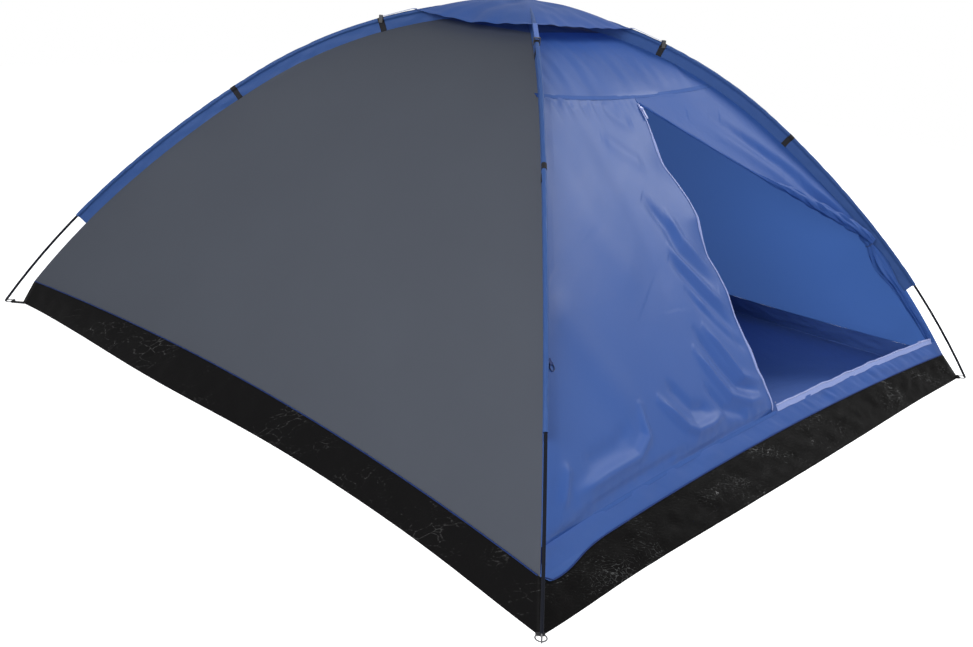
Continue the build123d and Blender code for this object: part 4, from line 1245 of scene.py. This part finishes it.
sill_rows = [on_sill(rise, 0.0016) for rise in np.linspace(-0.004, 0.0145, 9)]
sill_tape = cloth_mesh("sill_zip_tape_cloth", np.stack(sill_rows), [zip_tape])
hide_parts("sill_zip_tape")
zip_coil_along("sill_zip_coil", on_sill(0.0118, 0.0020), (0.0, -1.0, 0.1), 0.0014)
dress(["side_zip_slider", "sill_zip_slider", "zip_end_stops"],
      hard_finish("zip_paint", (0.24, 0.28, 0.50), (0.34, 0.38, 0.60), 0.35, 0.3))
dress(["side_zip_pull", "sill_zip_pull"],
      hard_finish("pull_nylon", (0.26, 0.30, 0.54), (0.36, 0.40, 0.64), 0.5, 0.0))

# ---------------------------------------------------------------- tie and guy loops
# The tie is a thin navy cord knotted round the rolled door.  The guy loops are short lengths of
# the same cord, sewn under a small patch on each wall's seam for the guy lines.
navy_cord, tree = new_material("navy_cord")
place = add_node(tree, "TexCoord").outputs["Object"]
strands = add_effect(tree, weave, place, Threads=3600.0)
# The cord is painted darker where its strands dip: painted shade in the grooves.
shade = mix_colours(tree, strands.outputs["Height"], (0.014, 0.03, 0.10), (0.03, 0.06, 0.17))
rough = remap(tree, strands.outputs["Height"], end=(0.85, 0.65))
relief = add_bump(tree, strands.outputs["Height"], 0.0003, 0.7)
skin = skin_shader(tree, shade, rough, relief)
add_node(tree, "OutputMaterial", {"Surface": skin})


def cord_ring(name, points):
    """A short stiff loop of cord through its points."""
    line = bpy.data.curves.new(name, "CURVE")
    line.dimensions = "3D"
    line.bevel_depth = cord_radius
    line.bevel_resolution = 4
    line.use_fill_caps = True
    spline = line.splines.new("BEZIER")
    spline.bezier_points.add(len(points) - 1)
    for knot, point in zip(spline.bezier_points, points):
        knot.co = point
        knot.handle_left_type = knot.handle_right_type = "AUTO"
    spline.use_cyclic_u = True
    loop = bpy.data.objects.new(name, line)
    bpy.context.collection.objects.link(loop)
    line.materials.append(navy_cord)
    return loop


def ring_points(middle, one_way, other_way, one_radius, other_radius, count):
    """Points round an oval in the plane of two ways."""
    return [middle + one_way * (math.cos(turn) * one_radius) + other_way * (math.sin(turn) * other_radius)
            for turn in np.linspace(0, 2 * math.pi, count + 1)[:-1]]


cord_radius = 0.0014
tie_radius = 0.0125
tie_at = Vector(spine[int(np.argmin(np.abs(spine_share)))])
tie_run = Vector(spine[8] - spine[20]).normalized()
tie_out = Vector(bunch_out)
tie_out = (tie_out - tie_run * tie_run.dot(tie_out)).normalized()
tie_points = ring_points(tie_at, tie_run.cross(tie_out), tie_out, tie_radius, tie_radius, 14)
door_tie = cord_ring("door_tie_cord", tie_points)
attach(door_tie, "tent")
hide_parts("door_tie")
loop_height = 0.451
for number, (wall, side) in enumerate((("front", -1), ("right", -1), ("back", -1), ("back", 1))):
    half = float(seam_span(wall, loop_height)[0])
    along = side * (half - 0.030)
    places = ((along, loop_height), (along, loop_height + 0.02), (along + 0.002, loop_height))
    root, above, beside = (Vector(point) for point in wall_point(wall, *np.array(places).T))
    loop_up = (above - root).normalized()
    loop_out = (beside - root).cross(loop_up).normalized()
    loop_side = loop_up.cross(loop_out)
    middle = root - loop_up * 0.009 + loop_out * 0.0028
    points = ring_points(middle, loop_up, loop_side, 0.009, 0.0085, 12)
    guy_loop = cord_ring(f"guy_loop_{number + 1}", points)
    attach(guy_loop, "tent")
    if number == 0:
        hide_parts("guy_loops")
    tab_rows = [[list(root + loop_up * rise + loop_side * across
                      + loop_out * (cord_radius + 0.0030 * math.exp(-(rise / 0.0035) ** 2)))
                 for across in np.linspace(-0.007, 0.007, 7)] for rise in np.linspace(-0.004, 0.014, 8)]
    tab = cloth_mesh(f"guy_tab_{number + 1}", np.array(tab_rows), [navy_cloth])
    thicken(tab, 0.0008)
